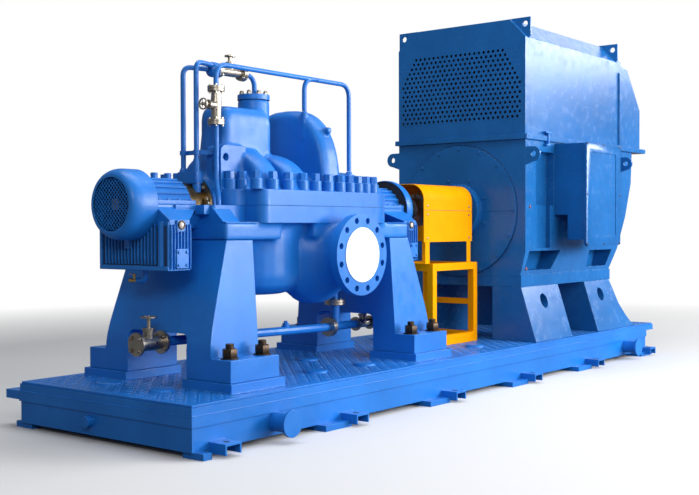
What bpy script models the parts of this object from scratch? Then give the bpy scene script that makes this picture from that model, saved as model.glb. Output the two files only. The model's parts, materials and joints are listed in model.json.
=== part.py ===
"""Axially split multistage centrifugal pump set on a fabricated skid.

Metres, +Z up. X runs along the shaft from the pump's outer bearing (-X) to the motor (+X),
the nozzle with the twelve bolt holes faces -Y, and the origin is under the middle of the skid
on the floor.
"""
import math

import bmesh
import bpy
from mathutils import Matrix, Vector

# Heights above the floor
SHAFT_Z = 1.20
PAD_Z = 0.030
BAND_Z0 = 0.147
RIM_Z0 = 0.2014
FRAME_Z1 = 0.241
DECK_Z = 0.253
SOLE_Z = 0.300
FOOT_Z = 0.415
LEG_TOP_Z = 1.014
GAP = 0.0003

# Skid
SKID_L = 2.710
SKID_W = 0.667
WEB_X1 = 2.560
BAND_PROUD = 0.004
TRUNNION_X = 2.135
TRUNNION_Z = 0.100

# Pump
PUMP_X = -1.349
LEG_IN = 0.622
LEG_OUT = 0.985
LEG_TOP_OUT = 0.820
LEG_Y = 0.412
LEG_TOP_Y = 0.363
FOOT_Y = 0.550
NOTCH_Y = 0.230
NOTCH_Z = 0.530
NOZZLE_NEAR_X = -1.2645
NOZZLE_FAR_X = -1.640
NOZZLE_Z = 0.9225
NOZZLE_Y = 0.560
NOZZLE_R = 0.235
NOZZLE_PCD_R = 0.200
NOZZLE_HOLE_R = 0.018
NOZZLE_BORE_R = 0.125
NOZZLE_COVER_R = 0.158
WALL_L, WALL_R = 0.222, 0.300
FLANGE_END_Y = 0.270
END_PLATE_X = -2.172
PLATE_SIDE_Z = 1.091
PLATE_TOP_Y, PLATE_TOP_Z = 0.262, 1.187
UPPER_END_X = -2.030
STUB_X = -2.070
STUB_PROFILE = [(STUB_X, 0.175), (-1.900, 0.175), (-1.899, 0.165), (-0.672, 0.165)]
GLAND_ROOM_R = 0.132
OUTER_GLAND_R, INNER_GLAND_R = 0.125, 0.105
CRADLE_R, CRADLE_POCKET_Y = 0.185, 0.135
EAR_Y = (0.170, 0.245)
EAR_Z = 1.150
FLUSH_FOOT_X, FLUSH_FOOT_Y = -2.088, -0.225
FLUSH_PORT_X = -2.115
FLUSH_PORT_Y = (0.016, -0.086)
WALL_Y = 0.385
WALL_Z = 1.020
LUG_X = -2.036
LUG_HOLE_X, LUG_HOLE_Z = -1.997, 1.463
HUMP_BOSS_X, HUMP_BOSS_Z = -1.256, 1.651
BORE_R = 0.056
SHAFT_R = 0.045
MOTOR_SHAFT_R = 0.055
BEARING_CLEARANCE = 0.0008
DRAIN_X, DRAIN_Y, DRAIN_TOP_Z = -0.885, -0.050, 0.800
DRAIN_Z, DRAIN_LOW_Z = 0.480, 0.455
PIPE_BOSS_Z = 1.380
HUMP_PORT_X = -1.325
HUMP_PORT_Z = 1.770
TOWER_X = -1.575
TOWER_PIPE_X = -1.605
TOWER_COVER_Z = 1.850
NDE_HOUSING_X = -2.475
DE_HOUSING_X = -0.2950
SUMP_LEN = 0.138
SUMP_Y = 0.266
SUMP_Z = 0.862

# Coupling guard and motor
GUARD_X0, GUARD_X1 = -0.100, 0.520
GUARD_Y = 0.196
GUARD_TOP_Z = 1.378
MOTOR_X0 = 0.664
MOTOR_Y = 0.555
MOTOR_FEET_Z = 0.646
MOTOR_BASE_Z = 0.723
HOOD_Z = 1.712
HOOD_SHOULDER_Z = 2.443
HOOD_TOP_Z = 2.578
HOOD_LUG_Z = 2.588
LUG_Y, LUG_Z, LUG_R = 0.617, 1.603, 0.053
LUG_EYE_R = 0.021
REAR_LUG_X = 2.252
END_SHIELD_R = 0.487

for old in list(bpy.data.objects):
    bpy.data.objects.remove(old, do_unlink=True)


def paint(name, colour, roughness, metallic=0.0):
    """A Principled material."""
    mat = bpy.data.materials.new(name)
    mat.use_nodes = True
    shader = mat.node_tree.nodes["Principled BSDF"]
    shader.inputs["Base Color"].default_value = (*colour, 1.0)
    shader.inputs["Roughness"].default_value = roughness
    shader.inputs["Metallic"].default_value = metallic
    return mat


BLUE = paint("blue_paint", (0.045, 0.190, 0.560), 0.38)
YELLOW = paint("yellow_paint", (0.900, 0.480, 0.010), 0.40)
STEEL = paint("stainless_steel", (0.560, 0.550, 0.520), 0.32, 1.0)
DARK = paint("machined_steel", (0.280, 0.270, 0.260), 0.40, 1.0)
WHITE = paint("white_cover", (0.850, 0.850, 0.830), 0.55)
BRASS = paint("brass", (0.700, 0.480, 0.160), 0.35, 1.0)


def make(name, bm, mat, smooth=30.0):
    """Turn a bmesh into a named object with one material."""
    bmesh.ops.recalc_face_normals(bm, faces=bm.faces)
    mesh = bpy.data.meshes.new(name)
    bm.to_mesh(mesh)
    bm.free()
    if mat is not None:
        mesh.materials.append(mat)
    obj = bpy.data.objects.new(name, mesh)
    bpy.context.scene.collection.objects.link(obj)
    mesh.shade_smooth()
    mesh.set_sharp_from_angle(angle=math.radians(smooth))
    return obj


def guide(name, bm):
    """A cutter or an added shape: hidden, drawn as wire."""
    obj = make(name, bm, None)
    obj.hide_render = True
    obj.display_type = "WIRE"
    return obj


def boolean(obj, other, operation):
    """Stack one exact Boolean on an object, which then carries its cutter along."""
    other.parent = obj
    mod = obj.modifiers.new(operation.title() + "_" + other.name, "BOOLEAN")
    mod.operation = operation
    mod.object = other
    mod.solver = "EXACT"
    return mod


def add(obj, *others):
    for other in others:
        boolean(obj, other, "UNION")
    return obj


def cut(obj, *others):
    for other in others:
        boolean(obj, other, "DIFFERENCE")
    return obj


def pivot(name, at):
    """An empty that a group of pieces hangs on."""
    empty = bpy.data.objects.new(name, None)
    empty.location = at
    bpy.context.scene.collection.objects.link(empty)
    return empty


def place(obj, at, parent):
    """Parent an object to an empty and put its origin at a point, leaving its shape where it is."""
    at = Vector(at)
    obj.data.transform(Matrix.Translation(-at))
    obj.parent = parent
    obj.location = at - parent.location
    for cutter in obj.children:
        cutter.location = cutter.location - at
    return obj


SKID = pivot("skid", (0.0, 0.0, 0.0))
PUMP = pivot("pump", (PUMP_X, 0.0, SHAFT_Z))
MOTOR = pivot("motor", (MOTOR_X0, 0.0, SHAFT_Z))
ROTOR = pivot("rotor_axis", (PUMP_X, 0.0, SHAFT_Z))


def prism(bm, outline, direction, start, end):
    """Extrude an outline of 2-D points. direction is the axis of extrusion: the outline's points
    are (y, z) for X, (x, z) for Y and (x, y) for Z."""
    def place(point, along):
        a, b = point
        return {"X": (along, a, b), "Y": (a, along, b), "Z": (a, b, along)}[direction]
    low = [bm.verts.new(place(p, start)) for p in outline]
    high = [bm.verts.new(place(p, end)) for p in outline]
    bm.faces.new(low)
    bm.faces.new(list(reversed(high)))
    count = len(outline)
    for i in range(count):
        j = (i + 1) % count
        bm.faces.new((low[i], high[i], high[j], low[j]))


def box(bm, x0, x1, y0, y1, z0, z1):
    prism(bm, [(x0, y0), (x1, y0), (x1, y1), (x0, y1)], "Z", z0, z1)


def boxes(*sizes):
    bm = bmesh.new()
    for size in sizes:
        box(bm, *size)
    return bm


def loft(bm, sections):
    """Bridge a list of equal-length point rings, closed at both ends."""
    rings = [[bm.verts.new(p) for p in ring] for ring in sections]
    bm.faces.new(rings[0])
    bm.faces.new(list(reversed(rings[-1])))
    for a, b in zip(rings, rings[1:]):
        count = len(a)
        for i in range(count):
            j = (i + 1) % count
            bm.faces.new((a[i], b[i], b[j], a[j]))


def ring(axis, centre, radius, segments, along, phase=0.0):
    """Points on a circle about an axis through centre, at a position along the axis."""
    cx, cy, cz = centre
    points = []
    for i in range(segments):
        t = 2 * math.pi * (i + phase) / segments
        u, v = radius * math.cos(t), radius * math.sin(t)
        points.append({"X": (along, cy + u, cz + v), "Y": (cx + u, along, cz + v),
                       "Z": (cx + u, cy + v, along)}[axis])
    return points


def turned(bm, axis, centre, profile, segments=24, phase=0.5):
    """A solid turned about an axis, from (along, radius) steps."""
    loft(bm, [ring(axis, centre, r, segments, a, phase) for a, r in profile])


def turned_shell(bm, axis, centre, profile, segments=24, phase=0.5):
    """A ring-shaped solid: the profile is a closed loop of (along, radius) points off the axis."""
    rings = [[bm.verts.new(p) for p in ring(axis, centre, r, segments, a, phase)] for a, r in profile]
    for a, b in zip(rings, rings[1:] + rings[:1]):
        for i in range(segments):
            j = (i + 1) % segments
            bm.faces.new((a[i], b[i], b[j], a[j]))


def arc(cx, cy, radius, start, end, steps):
    """Points along an arc in degrees."""
    return [(cx + radius * math.cos(math.radians(start + (end - start) * i / steps)),
             cy + radius * math.sin(math.radians(start + (end - start) * i / steps)))
            for i in range(steps + 1)]


def rounded_rect(x0, x1, y0, y1, radius, steps=4):
    return (arc(x1 - radius, y0 + radius, radius, -90, 0, steps)
            + arc(x1 - radius, y1 - radius, radius, 0, 90, steps)
            + arc(x0 + radius, y1 - radius, radius, 90, 180, steps)
            + arc(x0 + radius, y0 + radius, radius, 180, 270, steps))


def new_prism(outline, direction, start, end):
    bm = bmesh.new()
    prism(bm, outline, direction, start, end)
    return bm


def new_turned(axis, centre, profile, segments=24):
    bm = bmesh.new()
    turned(bm, axis, centre, profile, segments)
    return bm


def tube_run(name, points, radius, mat, segments=8, corner=0.05, corner_steps=3):
    """A round pipe along straight runs with bent corners."""
    path = []
    pts = [Vector(p) for p in points]
    path.append(pts[0])
    for before, here, after in zip(pts, pts[1:], pts[2:]):
        back, ahead = (before - here).normalized(), (after - here).normalized()
        start, end = here + back * corner, here + ahead * corner
        for i in range(corner_steps + 1):
            t = i / corner_steps
            path.append((1 - t) ** 2 * start + 2 * t * (1 - t) * here + t * t * end)
    path.append(pts[-1])
    bm = bmesh.new()
    rings = []
    normal = None
    for i, point in enumerate(path):
        if i == 0:
            tangent = (path[1] - point).normalized()
        elif i == len(path) - 1:
            tangent = (point - path[-2]).normalized()
        else:
            tangent = ((path[i + 1] - point).normalized() + (point - path[i - 1]).normalized()).normalized()
        if normal is None:
            side = Vector((0, 0, 1)) if abs(tangent.z) < 0.9 else Vector((0, 1, 0))
            normal = tangent.cross(side).normalized()
        else:
            normal = (normal - tangent * normal.dot(tangent)).normalized()
        other = tangent.cross(normal)
        rings.append([tuple(point + radius * (normal * math.cos(2 * math.pi * k / segments)
                                              + other * math.sin(2 * math.pi * k / segments)))
                      for k in range(segments)])
    loft(bm, rings)
    return make(name, bm, mat, 40.0)


# Skid: beams, bands, pads, brackets, lifting trunnions
def skid():
    inner = SKID_W - 0.100
    frame = make("skid_frame", boxes((-SKID_L + 0.004, WEB_X1, -SKID_W + 0.004, SKID_W - 0.004,
                                      PAD_Z, BAND_Z0 + 0.01)), BLUE)
    band = guide("skid_band", boxes((-SKID_L - BAND_PROUD, WEB_X1 + 0.004, -SKID_W - BAND_PROUD,
                                     SKID_W + BAND_PROUD, BAND_Z0, RIM_Z0)))
    rim = guide("skid_rim", boxes((-SKID_L, SKID_L, -SKID_W, SKID_W, RIM_Z0 - 0.002, FRAME_Z1)))
    add(frame, band, rim)
    bays = []
    bay_count = 10
    pitch = (WEB_X1 - 0.10 - (-SKID_L + 0.12)) / bay_count
    for i in range(bay_count):
        x0 = -SKID_L + 0.12 + pitch * i + 0.03
        x1 = x0 + pitch - 0.06
        bays.append((x0, x1, -inner, -0.030, -0.05, FRAME_Z1 - 0.012))
        bays.append((x0, x1, 0.030, inner, -0.05, FRAME_Z1 - 0.012))
    cut(frame, guide("skid_bays", boxes(*bays)))
    pads, brackets = [], []
    for side in (-1, 1):
        ys = sorted((side * (SKID_W - 0.080), side * (SKID_W + 0.058)))
        for x in (-2.665, -1.69, -0.70, 0.29, 1.28, 2.44):
            half = 0.028 if x < -2.6 else 0.110
            pads.append((x - half, x + half, ys[0], ys[1], 0.0, PAD_Z + 0.002))
        for k in range(6):
            x = -2.546 + 1.0 * k
            if x > WEB_X1:
                continue
            y_in, y_out = side * (SKID_W - 0.010), side * (SKID_W + 0.109)
            lo, hi = min(y_in, y_out), max(y_in, y_out)
            brackets.append(bracket_outline(x, lo, hi))
    pad_guide = guide("skid_pads", boxes(*pads))
    add(frame, pad_guide)
    bm = bmesh.new()
    for outline, lo, hi in brackets:
        prism(bm, outline, "Y", lo, hi)
    add(frame, guide("skid_brackets", bm))
    bm = bmesh.new()
    for side in (-1, 1):
        for x in (-TRUNNION_X, TRUNNION_X):
            steps = [(SKID_W - 0.03, 0.050), (SKID_W + 0.106, 0.050), (SKID_W + 0.1061, 0.070),
                     (SKID_W + 0.121, 0.070)]
            turned(bm, "Y", (x, 0, TRUNNION_Z), [(side * a, r) for a, r in steps], 20)
    add(frame, guide("skid_trunnions", bm))
    bm = bmesh.new()
    turned(bm, "X", (0, 0.080, 0.100), [(-SKID_L - 0.030, 0.030), (-SKID_L + 0.02, 0.030)], 16)
    box(bm, -SKID_L + 0.002, -SKID_L + 0.12, SKID_W - 0.01, SKID_W + 0.130, 0.153, 0.200)
    add(frame, guide("skid_fittings", bm))
    place(frame, (0, 0, 0), SKID)


def bracket_outline(x, lo, hi):
    """An inverted channel, 108 mm wide, open below."""
    h, t = 0.054, 0.010
    outline = [(x - h, 0.016), (x - h + t, 0.016), (x - h + t, 0.058), (x + h - t, 0.058),
               (x + h - t, 0.016), (x + h, 0.016), (x + h, 0.069), (x - h, 0.069)]
    return outline, lo, hi


def deck():
    plate = make("deck_plate", boxes((-SKID_L + 0.006, SKID_L - 0.006, -SKID_W + 0.006, SKID_W - 0.006,
                                      FRAME_Z1 + GAP, DECK_Z)), BLUE)
    bm = bmesh.new()
    for x, y in ((-2.48, -0.208), (-2.48, 0.208), (-1.464, -0.375), (-1.464, 0.375), (-1.049, -0.404),
                 (-1.049, 0.404), (-1.069, 0.024), (0.202, -0.408), (0.202, 0.408)):
        turned(bm, "Z", (x, y, 0), [(FRAME_Z1 + 0.004, 0.068), (DECK_Z + 0.008, 0.068),
                                    (DECK_Z + 0.016, 0.055)], 16)
    add(plate, guide("deck_caps", bm))
    place(plate, (0, 0, FRAME_Z1), SKID)


# Pump pedestals
def leg_x(sign, offset):
    """World X of a distance from the pump's middle, towards the outer end of that side."""
    return PUMP_X + sign * offset


def pedestal(name, sign):
    profile = [(LEG_OUT, SOLE_Z + GAP), (LEG_OUT, 0.450), (LEG_OUT - 0.006, 0.500), (LEG_OUT - 0.020, 0.560),
               (LEG_OUT - 0.049, 0.654), (LEG_TOP_OUT, LEG_TOP_Z), (LEG_IN, LEG_TOP_Z), (LEG_IN, SOLE_Z + GAP)]

    def half(z):
        t = (LEG_TOP_Z - max(z, FOOT_Z)) / (LEG_TOP_Z - FOOT_Z)
        return LEG_TOP_Y + (LEG_Y - LEG_TOP_Y) * t

    bm = bmesh.new()
    loft(bm, [[(leg_x(sign, o), side * half(z), z) for o, z in profile] for side in (-1, 1)])
    body = make(name, bm, BLUE)
    x0, x1 = sorted((leg_x(sign, LEG_OUT), leg_x(sign, LEG_IN)))
    feet = guide(name + "_feet", boxes((x0, x1, -FOOT_Y, -LEG_Y + 0.03, SOLE_Z + GAP, FOOT_Z),
                                       (x0, x1, LEG_Y - 0.03, FOOT_Y, SOLE_Z + GAP, FOOT_Z)))
    add(body, feet)
    notch = (arc(NOTCH_Y - 0.04, NOTCH_Z - 0.04, 0.04, 0, 90, 4)
             + arc(-NOTCH_Y + 0.04, NOTCH_Z - 0.04, 0.04, 90, 180, 4)
             + [(-NOTCH_Y, 0.2), (NOTCH_Y, 0.2)])
    cut(body, guide(name + "_notch", new_prism(notch, "X", x0 - 0.1, x1 + 0.1)))
    middle = (x0 + x1) / 2
    place(body, (middle, 0, SOLE_Z), SKID)
    for label, side in (("near", -1), ("far", 1)):
        ys = sorted((side * (NOTCH_Y - 0.01), side * (FOOT_Y + 0.024)))
        sole = make("sole_plate_%s_%s" % (name.split("_")[-1], label),
                    boxes((x0 - 0.020, x1 + 0.020, ys[0], ys[1], DECK_Z + GAP, SOLE_Z)), BLUE)
        place(sole, (middle, sum(ys) / 2, DECK_Z), SKID)


# Casing
def flange_outline(end_x, corner):
    """Plan of a split flange: narrow at the outer end, wide over the stages, rounded at the drive end."""
    near = (arc(end_x + corner, -FLANGE_END_Y + corner, corner, 180, 270, 6)
            + [(-1.935, -FLANGE_END_Y)] + arc(-1.870, -0.340, 0.060, 180, 270, 3)
            + arc(-0.910, -0.160, 0.240, 270, 360, 8))
    far = [(x, -y) for x, y in reversed(near)]
    return near + far


def nozzle(name, x, side, root):
    """A nozzle with its flange, along Y."""
    c = (x, 0, NOZZLE_Z)
    neck = new_turned("Y", c, [(side * root, 0.300), (side * 0.240, 0.290), (side * 0.310, 0.245),
                               (side * 0.370, 0.200), (side * 0.420, 0.176),
                               (side * (NOZZLE_Y - 0.049), 0.168)], 32)
    disc = new_turned("Y", c, [(side * (NOZZLE_Y - 0.050), NOZZLE_R), (side * NOZZLE_Y, NOZZLE_R)], 48)
    bore = new_turned("Y", c, [(side * 0.200, NOZZLE_BORE_R), (side * (NOZZLE_Y + 0.05), NOZZLE_BORE_R)], 24)
    return guide(name + "_neck", neck), guide(name + "_disc", disc), guide(name + "_bore", bore)


def bolt_holes(name, x, side):
    bm = bmesh.new()
    for k in range(12):
        t = math.radians(15 + 30 * k)
        c = (x + NOZZLE_PCD_R * math.cos(t), 0, NOZZLE_Z + NOZZLE_PCD_R * math.sin(t))
        turned(bm, "Y", c, [(side * (NOZZLE_Y - 0.070), NOZZLE_HOLE_R),
                            (side * (NOZZLE_Y + 0.05), NOZZLE_HOLE_R)], 12)
    return guide(name, bm)


def casing_lower():
    body = make("casing_lower", new_prism(flange_outline(END_PLATE_X, 0.020), "Z", 1.106, SHAFT_Z - GAP), BLUE)
    plate = [(-LEG_TOP_Y, LEG_TOP_Z + GAP), (LEG_TOP_Y, LEG_TOP_Z + GAP), (LEG_TOP_Y, PLATE_SIDE_Z),
             (PLATE_TOP_Y, PLATE_TOP_Z), (-PLATE_TOP_Y, PLATE_TOP_Z), (-LEG_TOP_Y, PLATE_SIDE_Z)]
    plate = guide("casing_end_plate", new_prism(plate, "X", END_PLATE_X, STUB_X + 0.020))
    barrel = guide("casing_barrel", new_turned("X", (0, 0, SHAFT_Z - 0.03),
                                               [(-1.962, 0.20), (-1.930, 0.28), (-1.880, 0.33), (-0.820, 0.33),
                                                (-0.768, 0.28), (-0.736, 0.20)], 32))
    ends = guide("casing_ends", new_turned("X", (0, 0, SHAFT_Z), STUB_PROFILE, 28))
    belly = guide("casing_belly", new_turned("Z", (-1.640, 0, 0),
                                             [(0.700, 0.200), (0.715, 0.255), (0.750, 0.300), (0.800, 0.318),
                                              (1.150, 0.318)], 32))
    half = guide("casing_upper_half", boxes((-2.6, 0.2, -0.7, 0.7, SHAFT_Z - GAP, 2.2)))
    near = nozzle("nozzle_near", NOZZLE_NEAR_X, -1, 0.15)
    far = nozzle("nozzle_far", NOZZLE_FAR_X, 1, 0.15)
    y0, y1 = 0.150, LEG_TOP_Y
    feet = []
    for sign in (-1, 1):
        xa, xb = sorted((leg_x(sign, 0.823), leg_x(sign, 0.385)))
        for side in (-1, 1):
            lo, hi = sorted((side * y0, side * y1))
            feet.append((xa, xb, lo, hi, LEG_TOP_Z + GAP, 1.110))
    foot_guide = guide("casing_feet", boxes(*feet))
    walls = guide("casing_nozzle_walls", boxes(
        (NOZZLE_NEAR_X - WALL_L, NOZZLE_NEAR_X + WALL_R, -WALL_Y, -0.150, WALL_Z, 1.110),
        (NOZZLE_FAR_X - WALL_R, NOZZLE_FAR_X + WALL_L, 0.150, WALL_Y, WALL_Z, 1.110)))
    boss = guide("casing_drain_boss", new_turned("Z", (DRAIN_X, DRAIN_Y, 0), [
        (DRAIN_TOP_Z, 0.045), (1.0, 0.045)], 16))
    add(body, barrel, ends, belly, near[0], far[0], walls, foot_guide, boss, plate)
    cut(body, half, guide("casing_gland_room", new_turned("X", (0, 0, SHAFT_Z), [(-2.3, GLAND_ROOM_R),
                                                                               (STUB_X, GLAND_ROOM_R)], 28)))
    add(body, near[1], far[1])
    cut(body, near[2], far[2], bolt_holes("nozzle_near_holes", NOZZLE_NEAR_X, -1),
        bolt_holes("nozzle_far_holes", NOZZLE_FAR_X, 1),
        guide("casing_lower_bore", new_turned("X", (0, 0, SHAFT_Z), [(-2.5, BORE_R), (0.1, BORE_R)], 20)))
    place(body, (PUMP_X, 0, SHAFT_Z), PUMP)
    for label, x, side in (("near", NOZZLE_NEAR_X, -1), ("far", NOZZLE_FAR_X, 1)):
        cover = make("nozzle_cover_" + label, new_turned("Y", (x, 0, NOZZLE_Z), [
            (side * (NOZZLE_Y + GAP), NOZZLE_COVER_R), (side * (NOZZLE_Y + 0.004), NOZZLE_COVER_R)], 32), WHITE)
        place(cover, (x, side * NOZZLE_Y, NOZZLE_Z), PUMP)


def arch(half_width, top, base, power, steps=20):
    """A closed hump outline in (y, z), standing on base."""
    height = top - base
    points = []
    for i in range(steps + 1):
        t = math.pi * i / steps
        c, s = math.cos(t), math.sin(t)
        points.append((half_width * math.copysign(abs(c) ** (2 / power), c), base + height * s ** (2 / power)))
    return points


def ribbed_arch(name, x0, x1, half_width, top, base, power, round_x):
    """An arch across the casing whose two faces draw in over round_x."""
    bm = bmesh.new()
    sections = []
    for x, draw in ((x0, 0.075), (x0 + round_x * 0.35, 0.028), (x0 + round_x, 0.0), (x1 - round_x, 0.0),
                    (x1 - round_x * 0.35, 0.028), (x1, 0.075)):
        height = (top - base) * (1 - draw)
        sections.append([(x, y, z) for y, z in arch(half_width * (1 - draw * 0.9), base + height, base, power)])
    loft(bm, sections)
    return guide(name, bm)


def casing_upper():
    body = make("casing_upper", new_prism(flange_outline(UPPER_END_X, 0.090), "Z", SHAFT_Z + GAP, 1.288), BLUE)
    barrel = guide("casing_top_barrel", new_prism(arch(0.300, 1.430, SHAFT_Z + 0.01, 2.2), "X", -1.930, -0.780))
    base = SHAFT_Z + 0.02
    arch_a = ribbed_arch("casing_arch_a", -1.870, -1.690, 0.352, 1.540, base, 2.2, 0.060)
    arch_b = ribbed_arch("casing_arch_b", -1.650, -1.465, 0.367, 1.510, base, 2.4, 0.060)
    hump = ribbed_arch("casing_hump", -1.340, -1.172, 0.347, 1.783, base, 2.7, 0.050)
    block = bmesh.new()
    plan = rounded_rect(-1.967, -1.562, -0.150, 0.062, 0.055, 4)
    mid_x = (plan[0][0] - 1.967) / 2

    def shrunk(scale, z):
        return [(mid_x + (x - mid_x) * scale, y * scale, z) for x, y in plan]

    foot = [(x - 0.035 if x < mid_x else x, y * (1.35 if y > 0 else 1.0), 1.25) for x, y in plan]
    loft(block, [foot, shrunk(1.0, 1.600), shrunk(1.0, 1.680), shrunk(0.965, 1.712), shrunk(0.89, 1.738),
                 shrunk(0.75, 1.752)])
    block = guide("casing_tower_block", block)
    tower = guide("casing_tower", new_turned("Z", (TOWER_X, 0, 0), [(1.45, 0.092), (1.8195, 0.092)], 24))
    lug_outline = [(LUG_X, 1.270), (-1.840, 1.270), (-1.840, 1.530)] + arc(LUG_X + 0.040, 1.490, 0.040, 90, 180, 4)
    lug = guide("casing_lug", new_prism(lug_outline, "Y", -0.190, -0.080))
    ends = guide("casing_top_ends", new_turned("X", (0, 0, SHAFT_Z), STUB_PROFILE, 28))
    bosses = bmesh.new()
    turned(bosses, "Z", (HUMP_PORT_X, -0.175, 0), [(1.600, 0.022), (HUMP_PORT_Z, 0.022)], 12)
    for side in (-1, 1):
        turned(bosses, "Y", (HUMP_BOSS_X, 0, HUMP_BOSS_Z), [(side * 0.150, 0.026), (side * 0.318, 0.022)], 14)
    turned(bosses, "Z", (-0.899, -0.175, 0), [(1.280, 0.022), (1.430, 0.022)], 12)
    add(body, barrel, arch_a, arch_b, hump, block, tower, lug, ends, guide("casing_bosses", bosses))
    holes = bmesh.new()
    turned(holes, "Y", (LUG_HOLE_X, 0, LUG_HOLE_Z), [(-0.25, 0.020), (-0.05, 0.020)], 14)
    for side in (-1, 1):
        turned(holes, "Y", (HUMP_BOSS_X, 0, HUMP_BOSS_Z), [(side * 0.285, 0.009), (side * 0.35, 0.009)], 12)
    cut(body, guide("casing_lower_half", boxes((-2.6, 0.2, -0.7, 0.7, 0.2, SHAFT_Z + GAP))),
        guide("casing_lug_holes", holes),
        guide("casing_upper_bore", new_turned("X", (0, 0, SHAFT_Z), [(-2.5, BORE_R), (0.1, BORE_R)], 20)))
    place(body, (PUMP_X, 0, SHAFT_Z), PUMP)
    cover = make("tower_cover", new_turned("Z", (TOWER_X, 0, 0), [(1.8198, 0.094), (TOWER_COVER_Z, 0.094)], 24), BLUE)
    place(cover, (TOWER_X, 0, TOWER_COVER_Z), PUMP)
    for label, x0, x1, radius in (("nde", -2.190, STUB_X - GAP, OUTER_GLAND_R),
                                 ("de", -0.670 + GAP, -0.610, INNER_GLAND_R)):
        bm = bmesh.new()
        turned_shell(bm, "X", (0, 0, SHAFT_Z), [(x0, BORE_R), (x1, BORE_R), (x1, radius), (x0, radius)], 24)
        gland = make("seal_gland_" + label, bm, STEEL)
        if label == "nde":
            ports = bmesh.new()
            for y in FLUSH_PORT_Y:
                turned(ports, "Z", (FLUSH_PORT_X, y, 0), [(1.270, 0.022), (PIPE_BOSS_Z, 0.022)], 12)
            add(gland, guide("gland_ports", ports))
        place(gland, (x0, 0, SHAFT_Z), PUMP)


# Bearing housings, one at each end
def bearing_end(tag, outer_x, sign):
    """outer_x is the sump's outer face; sign is +1 where the pump lies towards +X of it."""
    s = sign
    x_in = outer_x + s * SUMP_LEN
    x_neck = outer_x + s * 0.275
    casing_end = END_PLATE_X if s > 0 else -0.670
    cradle_x = x_in - s * 0.02 if s > 0 else x_neck - s * 0.02
    cradle_r, pocket_y = (CRADLE_R, CRADLE_POCKET_Y) if s > 0 else (0.150, 0.115)
    seat_r = SHAFT_R + BEARING_CLEARANCE

    def rect(x_a, x_b, half, z):
        return [(x_a, -half, z), (x_b, -half, z), (x_b, half, z), (x_a, half, z)]

    bm = bmesh.new()
    loft(bm, [rect(outer_x, x_in, SUMP_Y, SUMP_Z), rect(outer_x, x_in, SUMP_Y, 1.120),
              rect(outer_x, x_neck, 0.170, 1.185), rect(outer_x, x_neck, 0.170, SHAFT_Z - GAP)])
    housing = make("bearing_housing_" + tag, bm, BLUE)
    cradle = guide("cradle_" + tag, new_turned("X", (0, 0, SHAFT_Z),
                                               [(cradle_x, cradle_r), (casing_end - s * GAP, cradle_r)], 28))
    half = guide("cradle_half_" + tag, boxes((-3, 0.3, -0.5, 0.5, SHAFT_Z - GAP, 1.6)))
    pocket = guide("cradle_pocket_" + tag, boxes(tuple(
        list(sorted((x_neck + s * 0.004, casing_end + s * 0.050)))
        + [-pocket_y, pocket_y, SHAFT_Z - pocket_y, 1.6])))
    add(housing, cradle)
    if s > 0:
        ears = [(x_neck - 0.015, casing_end - GAP, *sorted((side * EAR_Y[0], side * EAR_Y[1])),
                 EAR_Z, SHAFT_Z - GAP) for side in (-1, 1)]
        add(housing, guide("cradle_ears", boxes(*ears)))
    cut(housing, half, pocket, guide("housing_bore_" + tag, new_turned(
        "X", (0, 0, SHAFT_Z), [(-3, seat_r), (0.3, seat_r)], 20)))
    cap = make("bearing_cap_" + tag, new_prism([(-0.170, SHAFT_Z + GAP), (0.170, SHAFT_Z + GAP), (0.170, 1.224),
                                                (0.140, 1.224)] + arc(0, SHAFT_Z, 0.135, 12, 168, 10)
                                               + [(-0.140, 1.224), (-0.170, 1.224)], "X",
                                               *sorted((outer_x, x_neck))), BLUE)
    plugs = bmesh.new()
    for off in (0.135, 0.230):
        turned(plugs, "Z", (outer_x + s * off, 0, 0), [(1.31, 0.019), (1.372, 0.019)], 12)
    add(cap, guide("cap_plugs_" + tag, plugs))
    cut(cap, guide("cap_bore_" + tag, new_turned(
        "X", (0, 0, SHAFT_Z), [(-3, seat_r), (0.3, seat_r)], 20)))
    place(housing, (x_neck, 0, SHAFT_Z), PUMP)
    place(cap, (x_neck, 0, SHAFT_Z), PUMP)


def cowl(tag, x_front, x_back, radius, grille_r, hole_r, sign):
    """A round shroud with a flat grille in front, open behind."""
    s = sign
    t = 0.006
    inner = [(x_back, radius - t), (x_front + s * 0.060, radius - t), (x_front + s * 0.020, grille_r + 0.010),
             (x_front + s * 0.010, grille_r), (x_front + s * 0.010, hole_r)]
    outer = [(x_front + s * 0.006, hole_r), (x_front + s * 0.006, grille_r), (x_front, grille_r + 0.001),
             (x_front, grille_r + 0.012), (x_front + s * 0.020, radius - 0.016), (x_front + s * 0.052, radius),
             (x_back, radius)]
    bm = bmesh.new()
    turned_shell(bm, "X", (0, 0, SHAFT_Z), inner + outer, 32)
    place(make("fan_cowl_" + tag, bm, BLUE), (x_back, 0, SHAFT_Z), PUMP)


def drain_cock():
    """The small brass oil tap under the outer sump."""
    x, y = -2.405, 0.095
    cock = make("oil_drain_cock", new_turned("Z", (x, y, 0), [
        (0.786, 0.007), (0.800, 0.007), (0.8001, 0.013), (0.832, 0.013),
        (0.8321, 0.008), (SUMP_Z - GAP, 0.008)], 12), BRASS)
    lever = guide("cock_lever", boxes((x - 0.006, x + 0.006, y - 0.055, y + 0.005, 0.812, 0.818)))
    place(add(cock, lever), (x, y, SUMP_Z), PUMP)


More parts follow.
